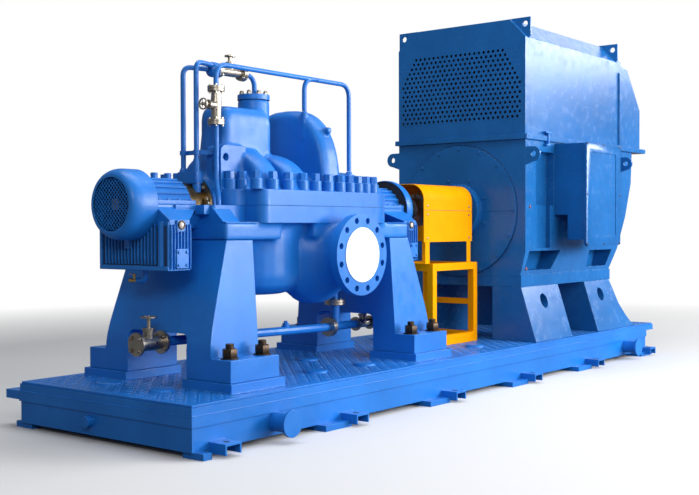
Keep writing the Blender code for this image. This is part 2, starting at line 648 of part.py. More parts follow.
# Rotor: shaft, cooling fans and coupling turn together
def fan(name, x0, x1, bore, radius):
    hub = bmesh.new()
    turned_shell(hub, "X", (0, 0, SHAFT_Z), [(x0, bore), (x1, bore), (x1, 0.062), (x0, 0.062)], 20)
    body = make(name, hub, STEEL)
    blades = bmesh.new()
    mid, half = (x0 + x1) / 2, abs(x1 - x0) / 2 - 0.004
    for k in range(10):
        start = len(blades.verts)
        box(blades, mid - half, mid + half, 0.055, radius, -0.002, 0.002)
        blades.verts.ensure_lookup_table()
        turn = Matrix.Rotation(2 * math.pi * k / 10, 4, "X")
        lift = Matrix.Translation((0, 0, SHAFT_Z))
        bmesh.ops.transform(blades, matrix=lift @ turn, verts=blades.verts[start:])
    add(body, guide(name + "_blades", blades))
    place(body, (mid, 0, SHAFT_Z), ROTOR)


def rotor():
    c = (0, 0, SHAFT_Z)
    shaft = make("pump_shaft", new_turned("X", c, [(-2.600, 0.030), (-2.4805, 0.030), (-2.480, SHAFT_R),
                                                   (-0.020, SHAFT_R)], 20), STEEL)
    place(shaft, (PUMP_X, 0, SHAFT_Z), ROTOR)
    fan("fan_nde", -2.598, -2.556, 0.030 + GAP, 0.128)
    fan("fan_de", -0.268, -0.226, SHAFT_R + GAP, 0.135)
    coupling = make("coupling", new_turned("X", c, [
        (-0.020 + GAP, 0.085), (0.080, 0.085), (0.0801, 0.115), (0.110, 0.115), (0.1101, 0.070),
        (0.350, 0.070), (0.3501, 0.115), (0.380, 0.115), (0.3801, 0.085), (0.460, 0.085)], 24), DARK)
    place(coupling, (0.220, 0, SHAFT_Z), ROTOR)
    drive = make("motor_shaft", new_turned("X", c, [(0.460 + GAP, MOTOR_SHAFT_R), (0.760, MOTOR_SHAFT_R)], 20), STEEL)
    place(drive, (MOTOR_X0, 0, SHAFT_Z), ROTOR)


# Coupling guard and its stand
def guard():
    t = 0.005
    r = 0.110
    w = GUARD_Y
    outer = ([(w, 0.978)] + arc(w - r, GUARD_TOP_Z - r, r, 0, 90, 6)
             + arc(-w + r, GUARD_TOP_Z - r, r, 90, 180, 6) + [(-w, 0.978)])
    inner = ([(-w + t, 0.978)] + arc(-w + r, GUARD_TOP_Z - r, r - t, 180, 90, 6)
             + arc(w - r, GUARD_TOP_Z - r, r - t, 90, 0, 6) + [(w - t, 0.978)])
    body = make("coupling_guard", new_prism(outer + inner, "X", GUARD_X0, GUARD_X1), YELLOW)
    legs = []
    for side in (-1, 1):
        y0, y1 = sorted((side * (w - t + 0.001), side * (w - 0.001)))
        ya, yb = sorted((side * (w - t + 0.001), side * (w + 0.020)))
        for x in (GUARD_X0 + 0.018, GUARD_X1 - 0.070):
            legs.append((x, x + 0.052, y0, y1, 0.828 + GAP, 0.990))
    add(body, guide("guard_legs", boxes(*legs)))
    place(body, (GUARD_X0, 0, SHAFT_Z), SKID)


def guard_stand():
    x0, x1, y = -0.030, 0.550, 0.222
    bar = 0.050
    top, bottom = 0.828, DECK_Z + GAP
    body = make("guard_stand", boxes((x0, x1, -y, y, bottom, top)), YELLOW)
    through_y = guide("stand_side_opening", boxes((x0 + bar, x1 - bar, -1, 1, bottom + 0.070, top - 0.052)))
    through_x = guide("stand_end_openings", boxes(
        (-1, 1, -y + bar, y - bar, bottom + 0.070, 0.520), (-1, 1, -y + bar, y - bar, 0.560, top - 0.052)))
    through_z = guide("stand_top_opening", boxes((x0 + bar, x1 - bar, -y + bar, y - bar, 0, 1)))
    cut(body, through_y, through_x, through_z)
    place(body, ((x0 + x1) / 2, 0, DECK_Z), SKID)


# Motor
def motor_leg(name, x0, x1, side, flare):
    """One motor pedestal: the outer face leans out towards the skid's edge, the end face flares."""
    y_in, y_top, y_low = side * 0.280, side * 0.520, side * 0.645
    z0, z1 = DECK_Z + GAP, MOTOR_FEET_Z - GAP
    rings = []
    for t in (0.0, 0.25, 0.5, 1.0):
        z = z0 + (z1 - z0) * t
        y = y_low + (y_top - y_low) * t
        end = x1 + flare * (1 - t) ** 2
        rings.append([(x0, y_in, z), (end, y_in, z), (end, y, z), (x0, y, z)])
    bm = bmesh.new()
    loft(bm, rings)
    body = make(name, bm, BLUE)
    mid = (x0 + x1) / 2
    hole = new_turned("Y", (mid, 0, 0.535), [(side * 0.40, 0.052), (side * 0.80, 0.052)], 20)
    cut(body, guide(name + "_hole", hole))
    place(body, (mid, y_in, MOTOR_FEET_Z), MOTOR)


def motor_lugs():
    """Lifting lugs with round eyes, standing out from the sides of the frame."""
    plates, eyes = bmesh.new(), bmesh.new()
    for x in (MOTOR_X0 + 0.001, REAR_LUG_X):
        for side in (-1, 1):
            end = 90 if side > 0 else -270
            outline = ([(side * 0.530, LUG_Z - 0.083)] + arc(side * LUG_Y, LUG_Z, LUG_R, -90, end, 10)
                       + [(side * 0.530, LUG_Z + LUG_R)])
            prism(plates, outline, "X", x, x + 0.018)
            turned(eyes, "X", (0, side * LUG_Y, LUG_Z), [(x - 0.02, LUG_EYE_R), (x + 0.04, LUG_EYE_R)], 12)
    return guide("motor_lug_plates", plates), guide("motor_lug_eyes", eyes)


def motor():
    for label, side in (("near", -1), ("far", 1)):
        motor_leg("motor_leg_%s_front" % label, 0.664, 1.235, side, 0.0)
        motor_leg("motor_leg_%s_rear" % label, 1.680, 2.146, side, 0.215)
    bm = bmesh.new()
    rings = []
    for z, x1, y in ((MOTOR_BASE_Z, 2.150, 0.510), (0.900, 2.225, MOTOR_Y), (1.170, 2.390, MOTOR_Y),
                     (1.450, 2.500, MOTOR_Y), (HOOD_Z - GAP, 2.520, MOTOR_Y)):
        rings.append([(MOTOR_X0, -y, z), (x1, -y, z), (x1, y, z), (MOTOR_X0, y, z)])
    loft(bm, rings)
    frame = make("motor_frame", bm, BLUE)
    base = guide("motor_base", boxes((MOTOR_X0 + 0.001, 2.160, -0.520, 0.520, MOTOR_FEET_Z, MOTOR_BASE_Z + 0.01)))
    lug_plates, lug_eyes = motor_lugs()
    add(frame, base, lug_plates)
    bays, panels, windows = [], [], bmesh.new()
    for side in (-1, 1):
        bays.append((0.820, 1.100, *sorted((side * 0.490, side * 0.700)), 1.240, 1.632))
        panels.append((0.840, 1.040, *sorted((side * 0.520, side * 0.700)), 0.925, 1.260))
        depth = sorted((side * 0.400, side * 0.700))
        prism(windows, [(0.722, 0.905), (1.205, 0.905), (1.115, 0.764), (0.708, 0.764)], "Y", *depth)
        prism(windows, [(1.708, 0.895), (2.120, 0.895), (2.070, 0.764), (1.708, 0.764)], "Y", *depth)
    cut(frame, guide("motor_bays", boxes(*bays)), guide("motor_panels", boxes(*panels)),
        guide("motor_windows", windows), lug_eyes,
        guide("motor_shaft_bore", new_turned("X", (0, 0, SHAFT_Z), [(0.50, 0.061), (0.780, 0.061)], 20)))
    place(frame, (MOTOR_X0, 0, SHAFT_Z), MOTOR)
    seat_r = MOTOR_SHAFT_R + BEARING_CLEARANCE
    shield = bmesh.new()
    turned_shell(shield, "X", (0, 0, SHAFT_Z), [(0.600, seat_r), (MOTOR_X0 - GAP, seat_r),
                                                (MOTOR_X0 - GAP, END_SHIELD_R), (0.650, END_SHIELD_R),
                                                (0.650, 0.200), (0.600, 0.190)], 40)
    place(make("motor_end_shield", shield, BLUE), (MOTOR_X0, 0, SHAFT_Z), MOTOR)
    hood()
    terminal_box()


def hood():
    section = [(-MOTOR_Y, HOOD_Z + 0.030), (MOTOR_Y, HOOD_Z + 0.030), (MOTOR_Y, HOOD_SHOULDER_Z),
               (0.428, HOOD_TOP_Z), (-0.428, HOOD_TOP_Z), (-MOTOR_Y, HOOD_SHOULDER_Z)]
    body = make("motor_hood", new_prism(section, "X", MOTOR_X0 - 0.004, 2.290), BLUE)
    flange = guide("hood_flange", boxes((MOTOR_X0 - 0.022, 2.757, -MOTOR_Y - 0.022, MOTOR_Y + 0.022,
                                         HOOD_Z, HOOD_Z + 0.036)))
    rear = guide("hood_rear", new_prism([(2.25, HOOD_Z + 0.010), (2.690, HOOD_Z + 0.010), (2.690, 2.080),
                                         (2.430, 2.400), (2.25, 2.420)], "Y", -MOTOR_Y + 0.003, MOTOR_Y - 0.003))
    lugs = bmesh.new()
    for x in (0.700, 2.180):
        for side in (-1, 1):
            prism(lugs, [(side * 0.400, 2.550), (side * 0.400, HOOD_LUG_Z), (side * 0.575, HOOD_LUG_Z),
                         (side * 0.575, 2.460), (side * 0.540, 2.420)], "X", x, x + 0.016)
    add(body, flange, rear, guide("hood_lugs", lugs))
    holes = bmesh.new()
    for x in (0.700, 2.180):
        for side in (-1, 1):
            turned(holes, "X", (0, side * 0.530, HOOD_LUG_Z - 0.046), [(x - 0.02, 0.022), (x + 0.04, 0.022)], 12)
    cut(body, guide("hood_lug_holes", holes))
    place(body, (MOTOR_X0, 0, HOOD_Z), MOTOR)


def terminal_box():
    y0 = -MOTOR_Y - GAP
    box_outline = [(y0, 1.170), (-0.660, 1.170), (-0.660, 0.985), (-0.798, 0.985), (-0.798, 1.700), (y0, 1.700)]
    case = make("terminal_box", new_prism(box_outline, "X", 1.112, 1.690), BLUE)
    place(case, (1.401, y0, SHAFT_Z), MOTOR)
    panel = make("terminal_cover", new_prism(rounded_rect(1.104, 1.698, 0.938, 1.706, 0.035, 4), "Y",
                                             -0.798 - GAP, -0.822), BLUE)
    place(panel, (1.401, -0.798, SHAFT_Z), MOTOR)


# Small-bore pipes and valves
def turn_to(run, stem):
    """Rotation that lays local X along run and local Z along stem."""
    x, z = Vector(run).normalized(), Vector(stem).normalized()
    return Matrix((x, z.cross(x), z)).transposed().to_euler()


def valve(name, centre, run, stem, half, flange_r, stem_len, wheel_r):
    """A flanged globe valve: body and bonnet in one node, the handwheel, if it has one, in another.
    Its own X is along the pipe and its own Z along the stem."""
    t = 0.012
    bm = bmesh.new()
    turned(bm, "X", (0, 0, 0), [(-half, flange_r), (-half + t, flange_r), (-half + t + 0.0001, flange_r * 0.55),
                                (-flange_r * 0.5, flange_r * 0.62), (flange_r * 0.5, flange_r * 0.62),
                                (half - t - 0.0001, flange_r * 0.55), (half - t, flange_r), (half, flange_r)], 20)
    body = make(name, bm, STEEL)
    bonnet = bmesh.new()
    top = stem_len + 0.006 if wheel_r else stem_len
    turned(bonnet, "Z", (0, 0, 0), [(0.0, flange_r * 0.5), (flange_r * 1.1, flange_r * 0.5),
                                    (flange_r * 1.1001, 0.011), (stem_len - 0.012, 0.011),
                                    (stem_len - 0.0119, 0.0045), (top, 0.0045)], 14)
    parts = [add(body, guide(name + "_bonnet", bonnet))]
    if wheel_r:
        parts.append(handwheel(name + "_handwheel", stem_len, wheel_r))
    for obj in parts:
        obj.parent = PUMP
        obj.location = Vector(centre) - PUMP.location
        obj.rotation_euler = turn_to(run, stem)


def handwheel(name, height, radius):
    """A four-spoked wheel about its own Z, at a height along the stem."""
    bm, rim, spokes = bmesh.new(), bmesh.new(), bmesh.new()
    turned_shell(bm, "Z", (0, 0, 0), [(height - 0.010, 0.0054), (height + 0.002, 0.0054),
                                      (height + 0.002, 0.010), (height - 0.010, 0.010)], 14)
    turned_shell(rim, "Z", (0, 0, 0), [(height - 0.008, radius - 0.007), (height, radius - 0.007),
                                       (height, radius), (height - 0.008, radius)], 20)
    for k in range(4):
        start = len(spokes.verts)
        box(spokes, 0.008, radius - 0.004, -0.003, 0.003, height - 0.007, height - 0.002)
        spokes.verts.ensure_lookup_table()
        bmesh.ops.rotate(spokes, cent=(0, 0, 0), matrix=Matrix.Rotation(math.pi / 2 * k, 3, "Z"),
                         verts=spokes.verts[start:])
    return add(make(name, bm, STEEL), guide(name + "_rim", rim), guide(name + "_spokes", spokes))


def pipe(name, points, radius, segments=8, corner=0.05):
    """A painted pipe on the pump, its origin at its first end."""
    return place(tube_run(name, points, radius, BLUE, segments, corner), points[0], PUMP)


def pipes():
    r = 0.014
    y_a, y_b = FLUSH_PORT_Y
    y_h = -0.175
    x_ab, x_c, x_end = FLUSH_PORT_X, -2.054, -0.899
    tee_x, tee_y, tee_z = -1.935, -0.035, 1.955
    top = PIPE_BOSS_Z + GAP
    pipe("flush_pipe_a", [(x_ab, y_a, top), (x_ab, y_a, tee_z), (tee_x - 0.038, tee_y + 0.010, tee_z)], r)
    pipe("flush_pipe_b", [(x_ab, y_b, top), (x_ab, y_b, tee_z + 0.020),
                          (tee_x - 0.036, tee_y - 0.022, tee_z + 0.020)], r)
    tee = make("vent_tee", new_turned("X", (0, tee_y, tee_z), [
        (tee_x - 0.034, 0.026), (tee_x - 0.018, 0.042), (tee_x + 0.018, 0.042), (tee_x + 0.034, 0.026)], 16), BLUE)
    place(tee, (tee_x, tee_y, tee_z), PUMP)
    valve("vent_valve", (tee_x + 0.130, tee_y, tee_z), (1, 0, 0), (0, 0, 1), 0.096 - GAP, 0.040, 0.095, 0.030)
    pipe("tower_pipe", [(tee_x + 0.226, tee_y, tee_z), (TOWER_PIPE_X, tee_y, tee_z),
                        (TOWER_PIPE_X, tee_y, TOWER_COVER_Z + GAP)], r, corner=0.070)
    pipe("flush_pipe_c", [(FLUSH_FOOT_X, FLUSH_FOOT_Y, SHAFT_Z), (FLUSH_FOOT_X, FLUSH_FOOT_Y, 1.245),
                          (x_c, y_h, 1.335), (x_c, y_h, 1.650)], r, corner=0.035)
    valve("flush_valve", (x_c, y_h, 1.738), (0, 0, 1), (-1, 0, 0), 0.088 - GAP, 0.046, 0.100, 0.032)
    header = tube_run("flush_header", [(x_c, y_h, 1.826), (x_c, y_h, 1.962), (x_end, y_h, 1.962),
                                       (x_end, y_h, 1.430 + GAP)], r, BLUE, corner=0.080, corner_steps=4)
    branch = guide("flush_branch", new_turned("Z", (HUMP_PORT_X, y_h, 0), [(HUMP_PORT_Z + GAP, r), (1.960, r)], 8))
    place(add(header, branch), (x_c, y_h, 1.826), PUMP)


def drain():
    """The drain header under the casing: a riser from the casing, and a valve at each end."""
    r = 0.026
    x_nde, x_de = -2.335, -0.681
    header = tube_run("drain_header", [(x_nde, DRAIN_Y, DRAIN_Z), (x_nde + 0.100, DRAIN_Y, DRAIN_Z),
                                       (DRAIN_X - 0.080, DRAIN_Y, DRAIN_LOW_Z),
                                       (x_de, DRAIN_Y, DRAIN_LOW_Z)], r, BLUE, 10, 0.020)
    riser = guide("drain_riser", new_turned("Z", (DRAIN_X, DRAIN_Y, 0), [
        (DRAIN_LOW_Z, 0.018), (0.594, 0.018), (0.5941, 0.050), (0.624, 0.050), (0.6241, 0.018),
        (DRAIN_TOP_Z - GAP, 0.018)], 16))
    flange = guide("drain_flange", new_turned("X", (0, DRAIN_Y, DRAIN_LOW_Z + 0.001), [
        (DRAIN_X - 0.075, 0.060), (DRAIN_X - 0.045, 0.060)], 16))
    place(add(header, riser, flange), (DRAIN_X, DRAIN_Y, DRAIN_LOW_Z), PUMP)
    valve("drain_valve_nde", (x_nde - 0.090, DRAIN_Y, DRAIN_Z), (1, 0, 0), (0, 0, 1),
          0.090 - GAP, 0.062, 0.140, 0.045)
    valve("drain_valve_de", (x_de + 0.080, DRAIN_Y, DRAIN_LOW_Z), (1, 0, 0), (0, 0, 1),
          0.080 - GAP, 0.045, 0.066, None)


skid()
deck()
pedestal("pedestal_nde", -1)
pedestal("pedestal_de", 1)
casing_lower()
casing_upper()
bearing_end("nde", NDE_HOUSING_X, 1)
bearing_end("de", DE_HOUSING_X, -1)
cowl("nde", -2.632, NDE_HOUSING_X - GAP, 0.184, 0.138, 0.002, 1)
cowl("de", -0.190, DE_HOUSING_X + GAP, 0.195, 0.145, SHAFT_R + 0.012, -1)
drain_cock()
rotor()
guard()
guard_stand()
motor()
pipes()
drain()
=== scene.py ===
"""The looks of an axially split multistage pump set on its skid.

Metres, +Z up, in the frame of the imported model: X along the shaft towards the motor, and the
nozzle with the white cover faces -Y.
"""
import json
import logging
import math
from dataclasses import dataclass, field
from enum import Enum
from typing import Iterable

import bmesh
import bpy
from mathutils import Matrix, Quaternion, Vector

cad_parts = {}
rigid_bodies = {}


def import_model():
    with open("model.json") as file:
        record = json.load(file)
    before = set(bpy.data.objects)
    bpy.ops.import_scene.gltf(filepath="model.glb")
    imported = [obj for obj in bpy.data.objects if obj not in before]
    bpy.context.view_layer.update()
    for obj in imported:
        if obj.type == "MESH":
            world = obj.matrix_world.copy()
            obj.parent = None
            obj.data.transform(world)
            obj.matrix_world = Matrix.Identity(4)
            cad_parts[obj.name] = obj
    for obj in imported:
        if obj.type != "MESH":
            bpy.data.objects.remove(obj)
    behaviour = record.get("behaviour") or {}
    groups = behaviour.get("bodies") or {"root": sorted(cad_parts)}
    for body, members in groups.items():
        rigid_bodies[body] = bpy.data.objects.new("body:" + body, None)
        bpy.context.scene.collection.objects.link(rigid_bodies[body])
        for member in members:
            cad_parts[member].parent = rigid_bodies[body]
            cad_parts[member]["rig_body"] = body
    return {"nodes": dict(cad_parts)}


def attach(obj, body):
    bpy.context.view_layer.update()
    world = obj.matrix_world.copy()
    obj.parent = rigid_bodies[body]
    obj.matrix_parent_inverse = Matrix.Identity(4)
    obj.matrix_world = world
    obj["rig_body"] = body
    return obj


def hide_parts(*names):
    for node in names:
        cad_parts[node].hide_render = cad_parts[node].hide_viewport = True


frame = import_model()

LOG = logging.getLogger("pump_set")
MACHINE = "machine"
SHAFT_Z = 1.20
TOWER_X = -1.575
DECK_Z = 0.253
CELL_SIZE = (0.040, 0.0345)

# A gap that keeps two faces from sharing one plane.
HAIR = 0.0001

# Corners of a solid closer than this are one.
MERGE = 0.00002

# Faces of a solid under this angle to each other, in degrees, are one flat face.
FLAT = 0.4

# Edges under these angles, in degrees, are shaded smooth: on small shapes, solids, pipes and domes.
CRISP, SHARP, ROUND, DOME = 32.0, 34.0, 40.0, 60.0

Point = tuple[float, float, float]
Spot = tuple[float, float]
Plane = tuple[Point, Point]
Colour = tuple[float, float, float]


class Facing(Enum):
    """A direction that a fastener or a plate points in."""

    LEFT = (-1.0, 0.0, 0.0)
    RIGHT = (1.0, 0.0, 0.0)
    NEAR = (0.0, -1.0, 0.0)
    FAR = (0.0, 1.0, 0.0)
    UP = (0.0, 0.0, 1.0)


def degrees(angles: Iterable[float]) -> list[float]:
    """Angles in degrees, turned to radians."""
    return [math.radians(angle) for angle in angles]


def evenly(count: int, phase: float = 0.0) -> list[float]:
    """Angles, in radians, that share out a full turn, the first one phase of a step on."""
    return [2 * math.pi * (i + phase) / count for i in range(count)]


def on_circle(radius: float, angles: Iterable[float], u: float = 0.0, v: float = 0.0) -> list[Spot]:
    """Places on a circle.

    Args:
        radius: the circle's radius.
        angles: where they lie, in radians.
        u: the centre's first measure.
        v: the centre's second measure.

    Returns:
        One pair of measures for each angle.
    """
    return [(u + radius * math.cos(t), v + radius * math.sin(t)) for t in angles]


class Graph:
    """Short hand for filling a node tree."""

    def __init__(self, tree: bpy.types.NodeTree) -> None:
        """Take the node tree.

        Args:
            tree: what is filled.
        """
        self.nodes = tree.nodes
        self.links = tree.links

    def node(self, kind: str, inputs: dict[str | int, object] | None = None,
             **settings: object) -> bpy.types.Node:
        """Add a node.

        Args:
            kind: Blender's name for the node.
            inputs: what goes into its sockets, a number, a colour, a vector or another socket.
            settings: the node's own options.

        Returns:
            The new node.
        """
        made = self.nodes.new(kind)
        for key, value in settings.items():
            setattr(made, key, value)
        for key, value in (inputs or {}).items():
            if isinstance(value, bpy.types.NodeSocket):
                self.links.new(value, made.inputs[key])
            else:
                made.inputs[key].default_value = value
        return made


class Shader(Graph):
    """Short hand for the node tree of one material."""

    def __init__(self, name: str) -> None:
        """Start a material with its Principled shader.

        Args:
            name: the material's name.
        """
        self.material = bpy.data.materials.new(name)
        self.material.use_nodes = True
        super().__init__(self.material.node_tree)
        self.main = self.nodes["Principled BSDF"]

    def place(self) -> bpy.types.NodeSocket:
        """The object's own coordinates."""
        return self.node("ShaderNodeTexCoord").outputs["Object"]

    def noise(self, scale: float, detail: float = 3.0, rough: float = 0.55) -> bpy.types.NodeSocket:
        """A noise value on the object's coordinates.

        Args:
            scale: waves per metre.
            detail: octaves.
            rough: how strong the finer octaves are.

        Returns:
            The noise factor's socket.
        """
        made = self.node("ShaderNodeTexNoise", {"Vector": self.place(), "Scale": scale, "Detail": detail,
                                                "Roughness": rough})
        return made.outputs["Fac"]

    def spread(self, value: bpy.types.NodeSocket, low: float, high: float, to_low: float,
               to_high: float) -> bpy.types.NodeSocket:
        """Map a value from one range to another.

        Args:
            value: the socket to read.
            low: lowest value read.
            high: highest value read.
            to_low: what the lowest becomes.
            to_high: what the highest becomes.

        Returns:
            The mapped value's socket.
        """
        made = self.node("ShaderNodeMapRange", {"Value": value, "From Min": low, "From Max": high,
                                                "To Min": to_low, "To Max": to_high})
        return made.outputs["Result"]

    def mix(self, factor: bpy.types.NodeSocket, first: object, second: object) -> bpy.types.NodeSocket:
        """Blend two colours.

        Args:
            factor: 0 gives the first and 1 the second.
            first: a colour or a socket.
            second: a colour or a socket.

        Returns:
            The blended colour's socket.
        """
        made = self.node("ShaderNodeMix", {}, data_type="RGBA")
        self.links.new(factor, made.inputs[0])
        for index, value in ((6, first), (7, second)):
            if isinstance(value, bpy.types.NodeSocket):
                self.links.new(value, made.inputs[index])
            else:
                made.inputs[index].default_value = (*value, 1.0)
        return made.outputs[2]

    def bump(self, height: bpy.types.NodeSocket, depth: float,
             under: bpy.types.NodeSocket | None = None) -> bpy.types.NodeSocket:
        """Raise the surface by a height.

        Args:
            height: 0 to 1.
            depth: metres for a height of 1.
            under: a normal that the bump lies on.

        Returns:
            The bumped normal's socket.
        """
        made = self.node("ShaderNodeBump", {"Height": height, "Distance": depth, "Strength": 1.0})
        if under is not None:
            self.links.new(under, made.inputs["Normal"])
        return made.outputs["Normal"]


@dataclass(frozen=True)
class Enamel:
    """Sprayed machine enamel: cloudy in tone, with orange peel, and lighter along its edges, from wear and a painted
    edge highlight.
    """

    name: str
    colour: Colour
    shade: Colour
    rubbed_and_edge_sheen: Colour
    roughness: float = 0.34
    peel: float = 0.00012
    peel_scale: float = 420.0
    skin: float = 0.0
    skin_scale: float = 55.0
    edge: float = 0.0025
    coat: float = 0.06
    coat_roughness: float = 0.22
    gloss: float = 0.34

    def build(self) -> bpy.types.Material:
        """Make the material.

        Returns:
            The material.
        """
        s = Shader(self.name)
        clouds = s.spread(s.noise(1.7, 4.0, 0.6), 0.35, 0.68, 0.0, 1.0)
        streaks = s.spread(s.noise(9.0, 5.0, 0.7), 0.42, 0.72, 0.0, 0.45)
        tone = s.mix(clouds, self.colour, self.shade)
        tone = s.mix(streaks, tone, self.shade)
        bevel = s.node("ShaderNodeBevel", {"Radius": self.edge}, samples=4).outputs["Normal"]
        flat = s.node("ShaderNodeNewGeometry").outputs["Normal"]
        along = s.node("ShaderNodeVectorMath", {0: bevel, 1: flat}, operation="DOT_PRODUCT").outputs["Value"]
        # Edges turn towards the lighter colour in patches: part wear, part a painted highlight where edges catch the
        # light.
        wear_and_edge_sheen = s.node("ShaderNodeMath", {0: s.spread(along, 0.97, 0.80, 0.0, 0.75),
                                         1: s.spread(s.noise(38.0, 4.0), 0.40, 0.62, 0.25, 1.0)},
                      operation="MULTIPLY").outputs[0]
        tone = s.mix(wear_and_edge_sheen, tone, self.rubbed_and_edge_sheen)
        s.links.new(tone, s.main.inputs["Base Color"])
        s.links.new(s.spread(s.noise(16.0, 4.0), 0.3, 0.7, self.roughness - 0.06, self.roughness + 0.10),
                    s.main.inputs["Roughness"])
        normal = s.bump(s.noise(self.peel_scale, 2.0), self.peel, bevel)
        if self.skin > 0.0:
            normal = s.bump(s.noise(self.skin_scale, 5.0, 0.62), self.skin, normal)
        s.links.new(normal, s.main.inputs["Normal"])
        s.main.inputs["Specular IOR Level"].default_value = self.gloss
        s.main.inputs["Coat Weight"].default_value = self.coat
        s.main.inputs["Coat Roughness"].default_value = self.coat_roughness
        return s.material


@dataclass(frozen=True)
class Metal:
    """Bare metal, with fine turning marks and a patchy tarnish."""

    name: str
    colour: Colour
    tarnish: Colour
    roughness: float = 0.30
    marks: float = 0.00006
    tarnish_share: float = 0.5
    edge: float = 0.0012

    def build(self) -> bpy.types.Material:
        """Make the material.

        Returns:
            The material.
        """
        s = Shader(self.name)
        patches = s.spread(s.noise(22.0, 5.0, 0.65), 0.38, 0.66, 0.0, self.tarnish_share)
        s.links.new(s.mix(patches, self.colour, self.tarnish), s.main.inputs["Base Color"])
        s.links.new(s.spread(s.noise(60.0, 4.0), 0.3, 0.7, self.roughness - 0.08, self.roughness + 0.14),
                    s.main.inputs["Roughness"])
        bevel = s.node("ShaderNodeBevel", {"Radius": self.edge}, samples=3).outputs["Normal"]
        s.links.new(s.bump(s.noise(900.0, 2.0), self.marks, bevel), s.main.inputs["Normal"])
        s.main.inputs["Metallic"].default_value = 1.0
        return s.material


@dataclass(frozen=True)
class Matt:
    """A dull finish: blanking film, sight discs, caps, and painted shade for openings, joints and backings."""

    name: str
    colour: Colour
    shade: Colour
    roughness: float = 0.6
    depth: float = 0.0002
    scale: float = 90.0

    def build(self) -> bpy.types.Material:
        """Make the material.

        Returns:
            The material.
        """
        s = Shader(self.name)
        s.links.new(s.mix(s.spread(s.noise(6.0, 4.0), 0.35, 0.65, 0.0, 1.0), self.colour, self.shade),
                    s.main.inputs["Base Color"])
        s.links.new(s.spread(s.noise(30.0, 3.0), 0.3, 0.7, self.roughness - 0.08, self.roughness + 0.08),
                    s.main.inputs["Roughness"])
        s.links.new(s.bump(s.noise(self.scale, 3.0), self.depth), s.main.inputs["Normal"])
        return s.material


@dataclass(frozen=True)
class StudioFloor:
    """A pale floor that turns into the white surround away from the machine."""

    name: str = "studio_floor"
    near: float = 4.2
    far: float = 8.5

    def build(self) -> bpy.types.Material:
        """Make the material.

        Returns:
            The material.
        """
        s = Shader(self.name)
        seen = s.node("ShaderNodeLightPath").outputs["Is Camera Ray"]
        s.links.new(s.mix(seen, (0.16, 0.16, 0.17), (0.66, 0.66, 0.66)), s.main.inputs["Base Color"])
        s.main.inputs["Roughness"].default_value = 0.75
        reach = s.node("ShaderNodeVectorMath", {0: s.place()}, operation="LENGTH").outputs["Value"]
        share = s.spread(reach, self.near, self.far, 0.0, 1.0)
        bright = s.spread(seen, 0.0, 1.0, 0.22, 1.0)
        glow = s.node("ShaderNodeEmission", {"Color": (1.0, 1.0, 1.0, 1.0), "Strength": bright})
        blend = s.node("ShaderNodeMixShader", {0: share, 1: s.main.outputs[0], 2: glow.outputs[0]})
        s.links.new(blend.outputs[0], s.nodes["Material Output"].inputs["Surface"])
        return s.material


class Finish(Enum):
    """Every finish on the machine and on the set."""

    PLATE = Enamel("blue_plate_enamel", (0.011, 0.185, 0.640), (0.007, 0.135, 0.490), (0.040, 0.260, 0.760))
    CAST = Enamel("blue_cast_enamel", (0.012, 0.190, 0.640), (0.008, 0.137, 0.490), (0.045, 0.275, 0.760),
                  roughness=0.37, skin=0.0009, skin_scale=42.0, edge=0.005)
    SHEET = Enamel("blue_sheet_enamel", (0.011, 0.130, 0.395), (0.007, 0.094, 0.300), (0.040, 0.230, 0.600),
                   roughness=0.22, peel=0.00004, skin=0.0005, skin_scale=3.2, coat=0.0, gloss=0.24)
    TREAD = Enamel("blue_tread_enamel", (0.026, 0.220, 0.660), (0.018, 0.160, 0.500), (0.090, 0.330, 0.800),
                   roughness=0.20, coat=0.20, gloss=0.60)
    YELLOW = Enamel("yellow_guard_enamel", (0.880, 0.350, 0.000), (0.780, 0.290, 0.000), (0.940, 0.460, 0.010),
                    roughness=0.45, coat=0.0, gloss=0.03)
    STAINLESS = Metal("stainless_steel_dressed", (0.470, 0.430, 0.370), (0.260, 0.220, 0.180), 0.31)
    MACHINED = Metal("machined_steel_dressed", (0.330, 0.310, 0.290), (0.200, 0.180, 0.160), 0.38)
    BROWNED = Metal("browned_steel", (0.210, 0.150, 0.095), (0.110, 0.085, 0.060), 0.46, 0.0002)
    OILED = Metal("oiled_black_nut", (0.070, 0.050, 0.036), (0.036, 0.027, 0.021), 0.40, 0.0002)
    BRASS = Metal("brass_dressed", (0.720, 0.470, 0.160), (0.450, 0.270, 0.090), 0.30)
    GLAND = Metal("gland_bronze", (0.270, 0.195, 0.090), (0.090, 0.064, 0.034), 0.34, tarnish_share=0.8)
    FILM = Matt("white_blanking_film", (0.880, 0.880, 0.870), (0.800, 0.800, 0.790), 0.45)
    LENS = Matt("white_sight_disc", (0.700, 0.640, 0.610), (0.600, 0.550, 0.530), 0.25, 0.00005)
    PLUG = Matt("red_brown_cap", (0.270, 0.070, 0.040), (0.190, 0.048, 0.030), 0.45)
    # Painted shade: the brackets' slots, the fans and rings inside the cowls, and the hood pocket's walls.
    SOOT = Matt("dark_opening", (0.012, 0.016, 0.024), (0.006, 0.008, 0.012), 0.80)
    # Painted shade: thin dark lines in joints and gaps, and the sheet behind the sump fins.
    SEAM = Matt("seam_shadow", (0.010, 0.040, 0.120), (0.006, 0.026, 0.080), 0.70)
    FLOOR = StudioFloor()


_made: dict[str, bpy.types.Material] = {}


def material(finish: Finish) -> bpy.types.Material:
    """The material of a finish, made once.

    Args:
        finish: which finish.

    Returns:
        The material.
    """
    if finish.name not in _made:
        _made[finish.name] = finish.value.build()
    return _made[finish.name]


def paint(mesh: bpy.types.Mesh, finish: Finish) -> None:
    """Give a mesh one finish and no other."""
    mesh.materials.clear()
    mesh.materials.append(material(finish))


